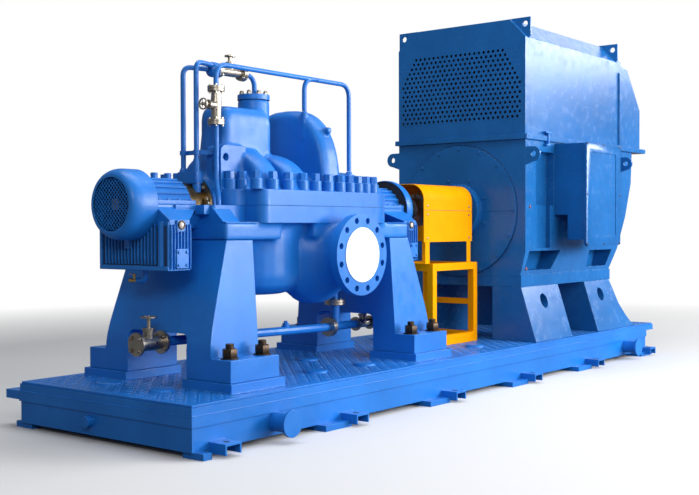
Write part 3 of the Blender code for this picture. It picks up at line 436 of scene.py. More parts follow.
def placed(name: str, data: bpy.types.ID) -> bpy.types.Object:
    """A new object in the scene.

    Args:
        name: its name.
        data: the mesh or other data that it shows.

    Returns:
        The object.
    """
    obj = bpy.data.objects.new(name, data)
    bpy.context.scene.collection.objects.link(obj)
    return obj


def crisp(mesh: bpy.types.Mesh, angle: float) -> None:
    """Shade a mesh smooth, apart from its edges over an angle, in degrees."""
    mesh.shade_smooth()
    mesh.set_sharp_from_angle(angle=math.radians(angle))


def round_edges(obj: bpy.types.Object, width: float) -> None:
    """Round an object's sharp edges, while its large faces keep their flat shading.

    Args:
        obj: the object.
        width: how wide the rounding is.
    """
    rounding = obj.modifiers.new("rounding", "BEVEL")
    rounding.width = width
    rounding.segments = 2
    rounding.limit_method = "ANGLE"
    rounding.angle_limit = math.radians(SHARP)
    rounding.use_clamp_overlap = True
    weigh = obj.modifiers.new("weigh", "WEIGHTED_NORMAL")
    weigh.mode = "FACE_AREA"
    weigh.weight = 100
    weigh.keep_sharp = False


def cut_away(obj: bpy.types.Object, cutter: bpy.types.Object) -> bpy.types.Modifier:
    """Take one object's shape out of another.

    Args:
        obj: what is cut.
        cutter: the shape that is taken out.

    Returns:
        The modifier.
    """
    opening = obj.modifiers.new("opening", "BOOLEAN")
    opening.object = cutter
    opening.operation = "DIFFERENCE"
    opening.solver = "EXACT"
    return opening


class Tree(Graph):
    """A Geometry Nodes tree with named sizes, ending in plain geometry with one material."""

    def __init__(self, name: str) -> None:
        """Start the tree with its geometry inlet and outlet.

        Args:
            name: the tree's name.
        """
        self.name = name
        self.group = bpy.data.node_groups.new(name, "GeometryNodeTree")
        super().__init__(self.group)
        faces = self.group.interface
        faces.new_socket(name="Geometry", in_out="INPUT", socket_type="NodeSocketGeometry")
        faces.new_socket(name="Geometry", in_out="OUTPUT", socket_type="NodeSocketGeometry")
        self.inlet = self.nodes.new("NodeGroupInput")
        self.outlet = self.nodes.new("NodeGroupOutput")

    def size(self, name: str, kind: str = "Float") -> bpy.types.NodeSocket:
        """Add a named input and return its socket inside the tree."""
        self.group.interface.new_socket(name=name, in_out="INPUT", socket_type="NodeSocket" + kind)
        return self.inlet.outputs[name]

    def maths(self, operation: str, first: object, second: object = 0.0,
              third: object = 0.0) -> bpy.types.NodeSocket:
        """One arithmetic step."""
        return self.node("ShaderNodeMath", {0: first, 1: second, 2: third}, operation=operation).outputs[0]

    def span(self, count: object, pitch: object) -> bpy.types.NodeSocket:
        """How far a row reaches from its first place to its last."""
        return self.maths("MULTIPLY", self.maths("SUBTRACT", count, 1.0), pitch)

    def vector(self, x: object = 0.0, y: object = 0.0, z: object = 0.0) -> bpy.types.NodeSocket:
        """Join three values into a vector."""
        return self.node("ShaderNodeCombineXYZ", {0: x, 1: y, 2: z}).outputs[0]

    def repeat(self, points: bpy.types.NodeSocket, shape: bpy.types.NodeSocket, **inputs: object) -> "Tree":
        """Put a shape on every point and end the tree.

        Args:
            points: the points' geometry.
            shape: the named input that holds the shape.
            inputs: the turn or the scale of the copies.

        Returns:
            The tree itself.
        """
        info = self.node("GeometryNodeObjectInfo", {"Object": shape})
        copies = self.node("GeometryNodeInstanceOnPoints", {
            "Points": points, "Instance": info.outputs["Geometry"], **inputs})
        return self.close(copies.outputs[0])

    def close(self, geometry: bpy.types.NodeSocket) -> "Tree":
        """End the tree: instances made real, and one finish over all.

        Args:
            geometry: what the tree ends with.

        Returns:
            The tree.
        """
        finish = self.size("Finish", "Material")
        real = self.node("GeometryNodeRealizeInstances", {"Geometry": geometry})
        coloured = self.node("GeometryNodeSetMaterial", {"Geometry": real.outputs[0], "Material": finish})
        self.links.new(coloured.outputs[0], self.outlet.inputs[0])
        return self

    def grow(self, name: str, finish: Finish, base: bpy.types.Mesh | None = None,
             **sizes: object) -> bpy.types.Object:
        """Run the tree once and keep the result as a plain mesh.

        Args:
            name: the piece's name.
            finish: its finish.
            base: the mesh that goes in, if the tree reads one.
            sizes: the tree's named inputs, with underscores for spaces.

        Returns:
            The new object, with no modifier on it.
        """
        seed = placed(name + "_seed", base or bpy.data.meshes.new(name + "_seed"))
        modifier = seed.modifiers.new(self.name, "NODES")
        modifier.node_group = self.group
        keys = {item.name: item.identifier for item in self.group.interface.items_tree
                if item.item_type == "SOCKET" and item.in_out == "INPUT"}
        for label, value in sizes.items():
            modifier[keys[label.replace("_", " ")]] = value
        modifier[keys["Finish"]] = material(finish)
        mesh = solid_copy(seed, name)
        bpy.data.objects.remove(seed, do_unlink=True)
        return placed(name, mesh)


def solid_copy(obj: bpy.types.Object, name: str) -> bpy.types.Mesh:
    """The mesh that an object has with its modifiers, as a plain mesh.

    Args:
        obj: the object.
        name: the mesh's name.

    Returns:
        The mesh.
    """
    depsgraph = bpy.context.evaluated_depsgraph_get()
    mesh = bpy.data.meshes.new_from_object(obj.evaluated_get(depsgraph), depsgraph=depsgraph)
    mesh.name = name
    return mesh


def fastener_tree() -> Tree:
    """A shape on every point, turned by the point's own angles.

    Returns:
        The tree.
    """
    tree = Tree("fasteners")
    shape = tree.size("Shape", "Object")
    size = tree.size("Size")
    turn = tree.node("GeometryNodeInputNamedAttribute", {"Name": "turn"}, data_type="FLOAT_VECTOR")
    angle = tree.node("FunctionNodeEulerToRotation", {0: turn.outputs[0]})
    return tree.repeat(tree.inlet.outputs["Geometry"], shape, Rotation=angle.outputs[0], Scale=size)


def row_tree() -> Tree:
    """A straight row of fins along X, centred on the origin, each scaled from a unit shape.

    Returns:
        The tree.
    """
    tree = Tree("fin_row")
    shape = tree.size("Shape", "Object")
    count = tree.size("Count", "Int")
    pitch = tree.size("Pitch")
    thick = tree.size("Thickness")
    depth = tree.size("Depth")
    length = tree.size("Length")
    start = tree.vector(tree.maths("MULTIPLY", tree.span(count, pitch), -0.5))
    line = tree.node("GeometryNodeMeshLine", {"Count": count, "Start Location": start,
                                              "Offset": tree.vector(pitch)})
    return tree.repeat(line.outputs[0], shape, Scale=tree.vector(thick, depth, length))


def tread_tree() -> Tree:
    """Raised bars on a grid, each turned a quarter from its neighbours.

    Returns:
        The tree.
    """
    tree = Tree("tread_pattern")
    shape = tree.size("Shape", "Object")
    long = tree.size("Length")
    wide = tree.size("Width")
    pitch = tree.size("Pitch")
    columns = tree.maths("FLOOR", tree.maths("DIVIDE", long, pitch))
    rows = tree.maths("FLOOR", tree.maths("DIVIDE", wide, pitch))
    grid = tree.node("GeometryNodeMeshGrid", {"Size X": tree.span(columns, pitch), "Size Y": tree.span(rows, pitch),
                                              "Vertices X": columns, "Vertices Y": rows})
    index = tree.node("GeometryNodeInputIndex").outputs[0]
    column = tree.maths("FLOOR", tree.maths("DIVIDE", tree.maths("ADD", index, 0.5), rows))
    row = tree.maths("SUBTRACT", index, tree.maths("MULTIPLY", column, rows))
    parity = tree.maths("FLOORED_MODULO", tree.maths("ADD", row, column), 2.0)
    turn = tree.maths("MULTIPLY_ADD", parity, math.pi / 2, -math.pi / 4)
    return tree.repeat(grid.outputs[0], shape, Rotation=tree.vector(0.0, 0.0, turn))


def perforation_tree() -> Tree:
    """Punched cells in staggered rows. The field lies in X and Y.

    Returns:
        The tree.
    """
    tree = Tree("punched_field")
    cell = tree.size("Cell", "Object")
    columns = tree.size("Columns", "Int")
    rows = tree.size("Rows", "Int")
    pitch = tree.size("Pitch")
    lift = tree.size("Row pitch")
    grid = tree.node("GeometryNodeMeshGrid", {"Size X": tree.span(columns, pitch), "Size Y": tree.span(rows, lift),
                                              "Vertices X": columns, "Vertices Y": rows})
    place = tree.node("GeometryNodeInputPosition").outputs[0]
    parts = tree.node("ShaderNodeSeparateXYZ", {0: place})
    below = 5.0  # lower than any row, so that no row's number is negative
    row = tree.maths("ROUND", tree.maths("DIVIDE", tree.maths("ADD", parts.outputs[1], below), lift))
    odd = tree.maths("FLOORED_MODULO", row, 2.0)
    shift = tree.maths("MULTIPLY", tree.maths("SUBTRACT", odd, 0.5), tree.maths("MULTIPLY", pitch, 0.5))
    moved = tree.node("GeometryNodeSetPosition", {"Geometry": grid.outputs[0], "Offset": tree.vector(shift)})
    return tree.repeat(moved.outputs[0], cell)


def lattice_tree() -> Tree:
    """A round screen of crossing wires in X and Y.

    Returns:
        The tree.
    """
    tree = Tree("wire_screen")
    radius = tree.size("Radius")
    pitch = tree.size("Pitch")
    wire = tree.size("Wire")
    across = tree.maths("MULTIPLY", radius, 2.0)
    count = tree.maths("ADD", tree.maths("FLOOR", tree.maths("DIVIDE", across, pitch)), 1.0)
    grid = tree.node("GeometryNodeMeshGrid", {"Size X": across, "Size Y": across,
                                              "Vertices X": count, "Vertices Y": count})
    place = tree.node("GeometryNodeInputPosition").outputs[0]
    reach = tree.node("ShaderNodeVectorMath", {0: place}, operation="LENGTH").outputs["Value"]
    outside = tree.maths("GREATER_THAN", reach, radius)
    kept = tree.node("GeometryNodeDeleteGeometry", {"Geometry": grid.outputs[0], "Selection": outside})
    curve = tree.node("GeometryNodeMeshToCurve", {"Mesh": kept.outputs[0]})
    profile = tree.node("GeometryNodeCurvePrimitiveCircle", {"Resolution": 4, "Radius": wire})
    wires = tree.node("GeometryNodeCurveToMesh", {"Curve": curve.outputs[0], "Profile Curve": profile.outputs[0]})
    return tree.close(wires.outputs[0])


def weld_tree() -> Tree:
    """A rippled weld bead along the edges of a mesh.

    Returns:
        The tree.
    """
    tree = Tree("weld_bead")
    bead = tree.size("Bead")
    step = tree.size("Step")
    curve = tree.node("GeometryNodeMeshToCurve", {"Mesh": tree.inlet.outputs["Geometry"]})
    even = tree.node("GeometryNodeResampleCurve", {"Curve": curve.outputs[0], "Length": step}, mode="LENGTH")
    index = tree.node("GeometryNodeInputIndex").outputs[0]
    ripple = tree.maths("MULTIPLY_ADD", tree.maths("FLOORED_MODULO", index, 2.0), 0.22, 0.85)
    sized = tree.node("GeometryNodeSetCurveRadius", {"Curve": even.outputs[0], "Radius": ripple})
    profile = tree.node("GeometryNodeCurvePrimitiveCircle", {"Resolution": 6, "Radius": bead})
    beads = tree.node("GeometryNodeCurveToMesh", {"Curve": sized.outputs[0], "Profile Curve": profile.outputs[0],
                                                  "Fill Caps": True})
    return tree.close(beads.outputs[0])


def heading(facing: Facing | Point, spin: float = 0.0) -> Quaternion:
    """The turn that lays Z along a direction, after a spin about Z."""
    along = Vector(facing.value if isinstance(facing, Facing) else facing)
    return along.to_track_quat("Z", "Y") @ Quaternion((0.0, 0.0, 1.0), spin)


@dataclass(frozen=True)
class Seat:
    """Where a fastener sits, which way it points and how far it is turned about that."""

    at: Point
    facing: Facing = Facing.UP
    spin: float = 0.0

    def turn(self) -> Point:
        """The seat's angles."""
        return tuple(heading(self.facing, self.spin).to_euler())


def face_seats(x: float, radius: float, angles: Iterable[float], facing: Facing, y: float = 0.0,
               z: float = SHAFT_Z) -> list[Seat]:
    """Seats round an upright face.

    Args:
        x: where the face lies.
        radius: the radius of the seats' circle.
        angles: their places on it, in radians.
        facing: which way the face looks.
        y: the circle's centre, across.
        z: the circle's centre, upwards.

    Returns:
        One seat for each angle.
    """
    return [Seat((x, across, height), facing) for across, height in on_circle(radius, angles, y, z)]


def seat_mesh(seats: list[Seat]) -> bpy.types.Mesh:
    """Loose points that carry the seats' angles.

    Args:
        seats: the points with their angles.

    Returns:
        The mesh.
    """
    mesh = bpy.data.meshes.new("seats")
    mesh.from_pydata([seat.at for seat in seats], [], [])
    turns = mesh.attributes.new("turn", "FLOAT_VECTOR", "POINT")
    turns.data.foreach_set("vector", [value for seat in seats for value in seat.turn()])
    return mesh


class Shape:
    """A mesh under construction."""

    def __init__(self) -> None:
        """Start with nothing."""
        self.bm = bmesh.new()

    def turned(self, profile: list[Spot], segments: int, close: bool = False) -> "Shape":
        """Turn a profile about Z.

        Args:
            profile: (height, radius) steps.
            segments: sides of the round.
            close: join the last step to the first, for a ring.

        Returns:
            The shape itself.
        """
        rings = [self.ring(on_circle(radius, evenly(segments, 0.5)), height) for height, radius in profile]
        return self.skin(rings + rings[:1] if close else rings, capped=not close)

    def ring(self, outline: list[Spot], height: float) -> list[bmesh.types.BMVert]:
        """Set an outline's corners at a height."""
        return [self.bm.verts.new((x, y, height)) for x, y in outline]

    def skin(self, rings: list[list[bmesh.types.BMVert]], capped: bool = True) -> "Shape":
        """Stretch faces from ring to ring.

        Args:
            rings: the corners, in order.
            capped: close both ends.

        Returns:
            The shape itself.
        """
        for low, high in zip(rings, rings[1:]):
            for i in range(len(low)):
                j = (i + 1) % len(low)
                self.bm.faces.new((low[i], low[j], high[j], high[i]))
        if capped:
            self.bm.faces.new(list(reversed(rings[0])))
            self.bm.faces.new(rings[-1])
        return self

    def prism(self, outline: list[Spot], low: float, high: float) -> "Shape":
        """Raise an outline in X and Y from one height to another.

        Args:
            outline: its corners in X and Y.
            low: the lower height.
            high: the upper height.

        Returns:
            The shape itself.
        """
        under, over = self.ring(outline, low), self.ring(outline, high)
        self.bm.faces.new(list(reversed(under)))
        self.bm.faces.new(over)
        return self.skin([under, over], capped=False)

    def slab(self, x0: float, x1: float, y0: float, y1: float, z0: float, z1: float) -> "Shape":
        """Add a rectangular block."""
        return self.prism([(x0, y0), (x1, y0), (x1, y1), (x0, y1)], z0, z1)

    def moved(self, matrix: Matrix) -> "Shape":
        """Move all that has been built so far."""
        self.bm.transform(matrix)
        return self

    def join(self, part: "Shape") -> "Shape":
        """Take another shape in and use it up.

        Args:
            part: the shape that is taken in.

        Returns:
            The shape itself.
        """
        mesh = bpy.data.meshes.new("joined")
        part.bm.to_mesh(mesh)
        part.bm.free()
        self.bm.from_mesh(mesh)
        bpy.data.meshes.remove(mesh)
        return self

    def mesh(self, name: str, smooth: float = CRISP, bevel: float = 0.0) -> bpy.types.Mesh:
        """Finish the mesh.

        Args:
            name: the mesh's name.
            smooth: edges under this angle, in degrees, are shaded smooth.
            bevel: width of the rounding on sharp edges.

        Returns:
            The mesh.
        """
        bmesh.ops.recalc_face_normals(self.bm, faces=self.bm.faces)
        if bevel > 0.0:
            sharp = [edge for edge in self.bm.edges
                     if len(edge.link_faces) == 2 and edge.calc_face_angle() > math.radians(smooth)]
            bmesh.ops.bevel(self.bm, geom=sharp, offset=bevel, segments=2, affect="EDGES", clamp_overlap=True)
        mesh = bpy.data.meshes.new(name)
        self.bm.to_mesh(mesh)
        self.bm.free()
        crisp(mesh, smooth)
        return mesh


def hidden_shape(shape: Shape, name: str, smooth: float = CRISP, bevel: float = 0.0) -> bpy.types.Object:
    """A shape that trees repeat or that cuts, and that isn't shown itself.

    Args:
        shape: its mesh.
        name: its name.
        smooth: the angle up to which edges shade smooth.
        bevel: how wide its edges are rounded.

    Returns:
        The object.
    """
    obj = placed(name, shape.mesh(name, smooth, bevel))
    obj.hide_render = True
    return obj


def rounded(x0: float, x1: float, y0: float, y1: float, radius: float, steps: int = 5) -> list[Spot]:
    """A rectangle with rounded corners.

    Args:
        x0: its lowest X.
        x1: its highest X.
        y0: its lowest Y.
        y1: its highest Y.
        radius: the corners' radius.
        steps: segments in a corner.

    Returns:
        Its outline.
    """
    points = []
    for cx, cy, start in ((x1 - radius, y0 + radius, -90), (x1 - radius, y1 - radius, 0),
                          (x0 + radius, y1 - radius, 90), (x0 + radius, y0 + radius, 180)):
        points += on_circle(radius, degrees(start + 90 * i / steps for i in range(steps + 1)), cx, cy)
    return points


def swept(points: list[Point], radius: float, segments: int = 16, corner: float = 0.05, steps: int = 8) -> Shape:
    """A round pipe along straight runs with smooth bends.

    Args:
        points: the corners of the route.
        radius: the pipe's radius.
        segments: sides of the round.
        corner: how far before a corner the bend starts.
        steps: pieces in each bend.

    Returns:
        The pipe's shape.
    """
    corners = [Vector(p) for p in points]
    path = [corners[0]]
    for before, here, after in zip(corners, corners[1:], corners[2:]):
        start = here + (before - here).normalized() * corner
        end = here + (after - here).normalized() * corner
        for i in range(steps + 1):
            t = i / steps
            path.append((1 - t) ** 2 * start + 2 * t * (1 - t) * here + t * t * end)
    path.append(corners[-1])
    shape = Shape()
    rings = []
    side = None
    for i, point in enumerate(path):
        tangent = (path[min(i + 1, len(path) - 1)] - path[max(i - 1, 0)]).normalized()
        if side is None:
            lean = Vector((0.0, 0.0, 1.0)) if abs(tangent.z) < 0.9 else Vector((0.0, 1.0, 0.0))
            side = tangent.cross(lean).normalized()
        else:
            side = (side - tangent * side.dot(tangent)).normalized()
        other = tangent.cross(side)
        rings.append([shape.bm.verts.new(point + radius * (side * math.cos(t) + other * math.sin(t)))
                      for t in evenly(segments)])
    return shape.skin(rings)


def aimed(at: Point, facing: Facing | Point) -> Matrix:
    """Lays a shape's Z along a direction and puts its origin at a point."""
    return Matrix.Translation(at) @ heading(facing).to_matrix().to_4x4()


def upright_near(y: float) -> Matrix:
    """Stands an outline up in X and Z, so that its thickness runs from y towards the near side."""
    return Matrix(((1, 0, 0, 0), (0, 0, -1, y), (0, 1, 0, 0), (0, 0, 0, 1)))


def upright_left(x: float, z: float) -> Matrix:
    """Stands an outline up across the shaft about a height, so that its thickness runs from x towards -X."""
    return Matrix(((0, 0, -1, x), (1, 0, 0, 0), (0, 1, 0, z), (0, 0, 0, 1)))


def pierced(shape: Shape, tool: Shape, name: str, bevel: float) -> bpy.types.Mesh:
    """Cut one shape out of another and round the edges.

    Args:
        shape: what is cut.
        tool: what is taken away.
        name: the mesh's name.
        bevel: width of the rounding on its edges.

    Returns:
        The mesh that is left.
    """
    body, cutter = hidden_shape(shape, name + "_body"), hidden_shape(tool, name + "_tool")
    cut_away(body, cutter)
    round_edges(body, bevel)
    mesh = solid_copy(body, name)
    for obj in (body, cutter):
        bpy.data.objects.remove(obj, do_unlink=True)
    return mesh


class Workshop:
    """Adds pieces to the machine and keeps the trees and the fastener shapes that they share."""

    def __init__(self) -> None:
        """Build the trees and the shapes."""
        self.fasteners = fastener_tree()
        self.rows = row_tree()
        self.tread = tread_tree()
        self.punched = perforation_tree()
        self.screen = lattice_tree()
        self.welds = weld_tree()
        self.shapes: dict[str, bpy.types.Object] = {}
        self.count = 0

    def add(self, name: str, mesh: bpy.types.Mesh, finish: Finish, body: str = MACHINE,
            stands_for: tuple[str, ...] = (), slot: str | None = None) -> bpy.types.Object:
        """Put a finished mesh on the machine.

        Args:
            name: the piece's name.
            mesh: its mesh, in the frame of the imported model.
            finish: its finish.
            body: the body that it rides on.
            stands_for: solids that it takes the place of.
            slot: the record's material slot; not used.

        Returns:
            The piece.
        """
        paint(mesh, finish)
        return self.keep(placed(name, mesh), body, stands_for)

    def make(self, name: str, shape: Shape, finish: Finish, bevel: float = 0.0, smooth: float = CRISP,
             stands_for: tuple[str, ...] = (), slot: str | None = None) -> bpy.types.Object:
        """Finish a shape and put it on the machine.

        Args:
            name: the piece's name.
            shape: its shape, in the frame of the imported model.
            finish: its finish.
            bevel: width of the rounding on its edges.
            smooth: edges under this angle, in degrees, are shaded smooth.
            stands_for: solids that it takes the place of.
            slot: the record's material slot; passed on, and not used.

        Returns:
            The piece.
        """
        return self.add(name, shape.mesh(name, smooth, bevel), finish, stands_for=stands_for, slot=slot)

    def keep(self, piece: bpy.types.Object, body: str = MACHINE, stands_for: tuple[str, ...] = ()) -> bpy.types.Object:
        """Let a piece ride on a body and report it.

        Args:
            piece: the object.
            body: what carries it.
            stands_for: the nodes that it replaces.

        Returns:
            The object.
        """
        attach(piece, body)
        if stands_for:
            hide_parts(*stands_for)
        self.count += 1
        LOG.info("piece %s: %d faces on %s", piece.name, len(piece.data.polygons), body)
        return piece

    def bolt_up(self, name: str, shape: str, seats: list[Seat], finish: Finish, body: str = MACHINE,
                size: float = 1.0) -> bpy.types.Object:
        """Put one fastener shape on many seats.

        Args:
            name: the piece's name.
            shape: the fastener's name among the shapes.
            seats: where each one goes.
            finish: the finish of all.
            body: the body that they ride on.
            size: scale of the shape.

        Returns:
            The piece that holds them all.
        """
        piece = self.fasteners.grow(name, finish, seat_mesh(seats), Shape=self.shapes[shape], Size=size)
        return self.keep(piece, body)

    def weld(self, name: str, runs: list[list[Point]], finish: Finish = Finish.PLATE, bead: float = 0.004,
             step: float = 0.009) -> bpy.types.Object:
        """Lay weld beads along polylines.

        Args:
            name: the piece's name.
            runs: the polylines.
            finish: its finish.
            bead: the bead's radius.
            step: the ripple's length.

        Returns:
            The piece.
        """
        mesh = bpy.data.meshes.new(name + "_runs")
        points: list[Point] = []
        edges: list[tuple[int, int]] = []
        for run in runs:
            start = len(points)
            points.extend(run)
            edges.extend((start + i, start + i + 1) for i in range(len(run) - 1))
        mesh.from_pydata(points, edges, [])
        piece = self.welds.grow(name, finish, mesh, Bead=bead, Step=step)
        for face in piece.data.polygons:
            face.use_smooth = True
        return self.keep(piece)

    def dress(self, node: str, finish: Finish, bevel: float,
              clip: list[Plane] | None = None, name: str | None = None) -> bpy.types.Object:
        """Stand a merged copy with rounded edges for a solid.

        Args:
            node: the solid's name.
            finish: the copy's finish.
            bevel: width of the rounding on its edges, 0 for none.
            clip: planes (point, normal) that cut the copy, keeping the side away from the normal.
            name: the piece's name, if not the node's own with _finished.

        Returns:
            The piece.
        """
        piece = self.copy(node, name or node + "_finished", clip)
        if bevel > 0.0:
            round_edges(piece, bevel)
        crisp(piece.data, SHARP)
        mesh = solid_copy(piece, piece.name)
        piece.modifiers.clear()
        piece.data = mesh
        paint(mesh, finish)
        body = frame["nodes"][node]["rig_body"]
        return self.keep(piece, body, (node,))

    def copy(self, node: str, name: str, clip: list[Plane] | None = None) -> bpy.types.Object:
        """A merged copy of a solid, with its flat faces joined.

        Args:
            node: the solid's node.
            name: the copy's name.
            clip: planes that it is cut at.

        Returns:
            The copy.
        """
        bm = bmesh.new()
        bm.from_mesh(frame["nodes"][node].data)
        bmesh.ops.remove_doubles(bm, verts=bm.verts, dist=MERGE)
        for point, normal in clip or []:
            made = bmesh.ops.bisect_plane(bm, geom=bm.verts[:] + bm.edges[:] + bm.faces[:], plane_co=point,
                                          plane_no=normal, clear_outer=True)
            rim = [item for item in made["geom_cut"] if isinstance(item, bmesh.types.BMEdge)]
            bmesh.ops.holes_fill(bm, edges=rim, sides=0)
        bmesh.ops.dissolve_limit(bm, angle_limit=math.radians(FLAT), verts=bm.verts, edges=bm.edges)
        mesh = bpy.data.meshes.new(name)
        bm.to_mesh(mesh)
        bm.free()
        mesh.materials.clear()
        return placed(name, mesh)

    def cast(self, name: str, node: str, voxel: float, rounds: int, drop: list[Plane]) -> bpy.types.Object:
        """A copy of a solid with its inner corners filled and its outer ones rounded, as cast.

        Args:
            name: the piece's name.
            node: the solid that it is made from.
            voxel: size of the cells that the copy is rebuilt from.
            rounds: how often it is smoothed.
            drop: planes (point, normal) beyond which the faces go, because a crisp piece is there.

        Returns:
            The piece, which rides but stands for nothing by itself.
        """
        piece = self.copy(node, name)
        remesh = piece.modifiers.new("cells", "REMESH")
        remesh.mode = "VOXEL"
        remesh.voxel_size = voxel
        relax = piece.modifiers.new("relax", "SMOOTH")
        relax.factor = 0.6
        relax.iterations = rounds
        mesh = solid_copy(piece, name)
        piece.modifiers.clear()
        piece.data = mesh
        bm = bmesh.new()
        bm.from_mesh(mesh)
        gone = []
        for face in bm.faces:
            centre = face.calc_center_median()
            if any((centre - Vector(point)).dot(Vector(normal)) > 0.0 for point, normal in drop):
                gone.append(face)
        bmesh.ops.delete(bm, geom=gone, context="FACES")
        bm.to_mesh(mesh)
        bm.free()
        mesh.shade_smooth()
        paint(mesh, Finish.CAST)
        return self.keep(piece, frame["nodes"][node]["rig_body"])

    def stock(self) -> None:
        """Make the fastener and fin shapes. Those about 1 across are scaled where they go."""
        flats = 0.0350 / math.cos(math.pi / 6)
        bar = [(-0.018, 0.0), (-0.009, -0.0046), (0.009, -0.0046), (0.018, 0.0), (0.009, 0.0046), (-0.009, 0.0046)]
        plain = {
            "foundation_nut": Shape().turned([(0.0, 0.047), (0.006, 0.047)], 20).turned(
                [(0.006, flats * 0.94), (0.010, flats), (0.048, flats), (0.053, flats * 0.92)], 6),
            "foundation_stud": Shape().turned(
                [(0.050, 0.022), (0.052, 0.0205), (0.054, 0.022), (0.074, 0.022), (0.078, 0.018)], 18),
            "cap_nut": Shape().turned(
                [(0.0, 0.0355), (0.002, 0.0355), (0.0021, 0.0335), (0.055, 0.0335), (0.058, 0.0305)], 28).turned(
                [(0.058, 0.0270), (0.097, 0.0270), (0.100, 0.0245)], 6),
            "hex_bolt": Shape().turned([(0.0, 1.30), (0.16, 1.30)], 16).turned(
                [(0.16, 1.06), (0.74, 1.06), (0.86, 0.94)], 6),
            "pan_screw": Shape().turned([(0.0, 1.0), (0.30, 0.98), (0.52, 0.78), (0.60, 0.40)], 12),
            "acorn_nut": Shape().turned([(0.0, 1.06), (0.75, 1.06)], 6).turned(
                [(0.75, 0.92), (1.15, 0.88), (1.55, 0.66), (1.80, 0.36), (1.88, 0.10)], 14),
            "stud_pair": Shape().turned([(-2.2, 0.50), (2.2, 0.50)], 8).turned([(-1.5, 1.0), (-0.75, 1.0)], 6).turned(
                [(0.75, 1.0), (1.5, 1.0)], 6),
            "slot_hole": Shape().prism(rounded(-0.020, 0.020, -0.009, 0.009, 0.0088, 4), 0.0, 0.0006),
            "bolt_hole": Shape().turned([(0.0, 1.0), (0.02, 1.0)], 20),
        }
        for name, shape in plain.items():
            self.shapes[name] = hidden_shape(shape, name)
        self.shapes["fin"] = hidden_shape(Shape().slab(-0.5, 0.5, -0.5, 0.5, -0.5, 0.5), "fin", bevel=0.12)
        self.shapes["tread_bar"] = hidden_shape(Shape().prism(bar, 0.0, 0.0028), "tread_bar", DOME)
        self.shapes["punched_cell"] = self.cell()

    @staticmethod
    def cell() -> bpy.types.Object:
        """One punched cell of sheet with a round hole.

        Returns:
            The object.
        """
        shape = Shape()
        half_x, half_y = (size / 2 for size in CELL_SIZE)
        radius, thick, sides = 0.0108, 0.003, 16
        outer = []
        for t in evenly(sides, 0.5):
            c, s = math.cos(t), math.sin(t)
            reach = min(half_x / abs(c), half_y / abs(s))
            outer.append((reach * c, reach * s))
        corners = [(x * half_x, y * half_y) for x in (-1, 1) for y in (-1, 1)]
        nearest = [min(range(sides), key=lambda k: abs(outer[k][0] - x) + abs(outer[k][1] - y)) for x, y in corners]
        for k, corner in zip(nearest, corners):
            outer[k] = corner
        inner = on_circle(radius, evenly(sides, 0.5))
        top_out, top_in, low_in = shape.ring(outer, 0.0), shape.ring(inner, 0.0), shape.ring(inner, -thick)
        for i in range(sides):
            j = (i + 1) % sides
            shape.bm.faces.new((top_out[i], top_out[j], top_in[j], top_in[i]))
            shape.bm.faces.new((top_in[i], top_in[j], low_in[j], low_in[i]))
        mesh = bpy.data.meshes.new("punched_cell")
        shape.bm.to_mesh(mesh)
        shape.bm.free()
        obj = placed("punched_cell", mesh)
        obj.hide_render = True
        return obj


@dataclass
class Skid:
    """Beams, deck plate with its tread, brackets and pads."""

    half_length: float = 2.710
    half_width: float = 0.667
    tread_pitch: float = 0.046
    tread_margin: float = 0.05
    rim_z: float = 0.2022
    bead_gap: float = 0.002
    bracket_x: tuple[float, ...] = (-2.546, -1.546, -0.546, 0.454, 1.454, 2.454)
    bracket_half: float = 0.055
    bracket_top: float = 0.069
    bracket_root: float = 0.004
    bracket_bead_z: tuple[float, float] = (0.020, 0.070)
    slot_reach: float = 0.062

    def build(self, shop: Workshop) -> None:
        """Dress the skid.

        Args:
            shop: the workshop.
        """
        shop.dress("skid_frame", Finish.PLATE, 0.003)
        shop.dress("deck_plate", Finish.PLATE, 0.002)
        bars = shop.tread.grow("deck_tread", Finish.TREAD, Shape=shop.shapes["tread_bar"],
                               Length=2 * self.half_length - self.tread_margin,
                               Width=2 * self.half_width - self.tread_margin, Pitch=self.tread_pitch)
        bars.data.transform(Matrix.Translation((0.0, 0.0, DECK_Z - HAIR)))
        shop.keep(bars)
        # Thin dark discs on the brackets, painted as the shade inside their slots.
        slots = [Seat((x, side * (self.half_width + self.slot_reach), self.bracket_top + HAIR), spin=math.pi / 2)
                 for x in self.bracket_x for side in (-1, 1)]
        shop.bolt_up("bracket_slots", "slot_hole", slots, Finish.SOOT)
        shop.weld("skid_welds", self.seams(), bead=0.0035)

    def seams(self) -> list[list[Point]]:
        """Weld runs under the rim and round the brackets.

        Returns:
            The runs.
        """
        length, width = self.half_length + self.bead_gap, self.half_width + self.bead_gap
        low, high = self.bracket_bead_z
        runs: list[list[Point]] = []
        for side in (-1, 1):
            runs.append([(-length, side * width, self.rim_z), (length, side * width, self.rim_z)])
            y = side * (self.half_width - self.bracket_root)
            for x in self.bracket_x:
                left, right = x - self.bracket_half, x + self.bracket_half
                runs.append([(left, y, low), (left, y, high), (right, y, high), (right, y, low)])
        runs.append([(-length, -width, self.rim_z), (-length, width, self.rim_z)])
        return runs


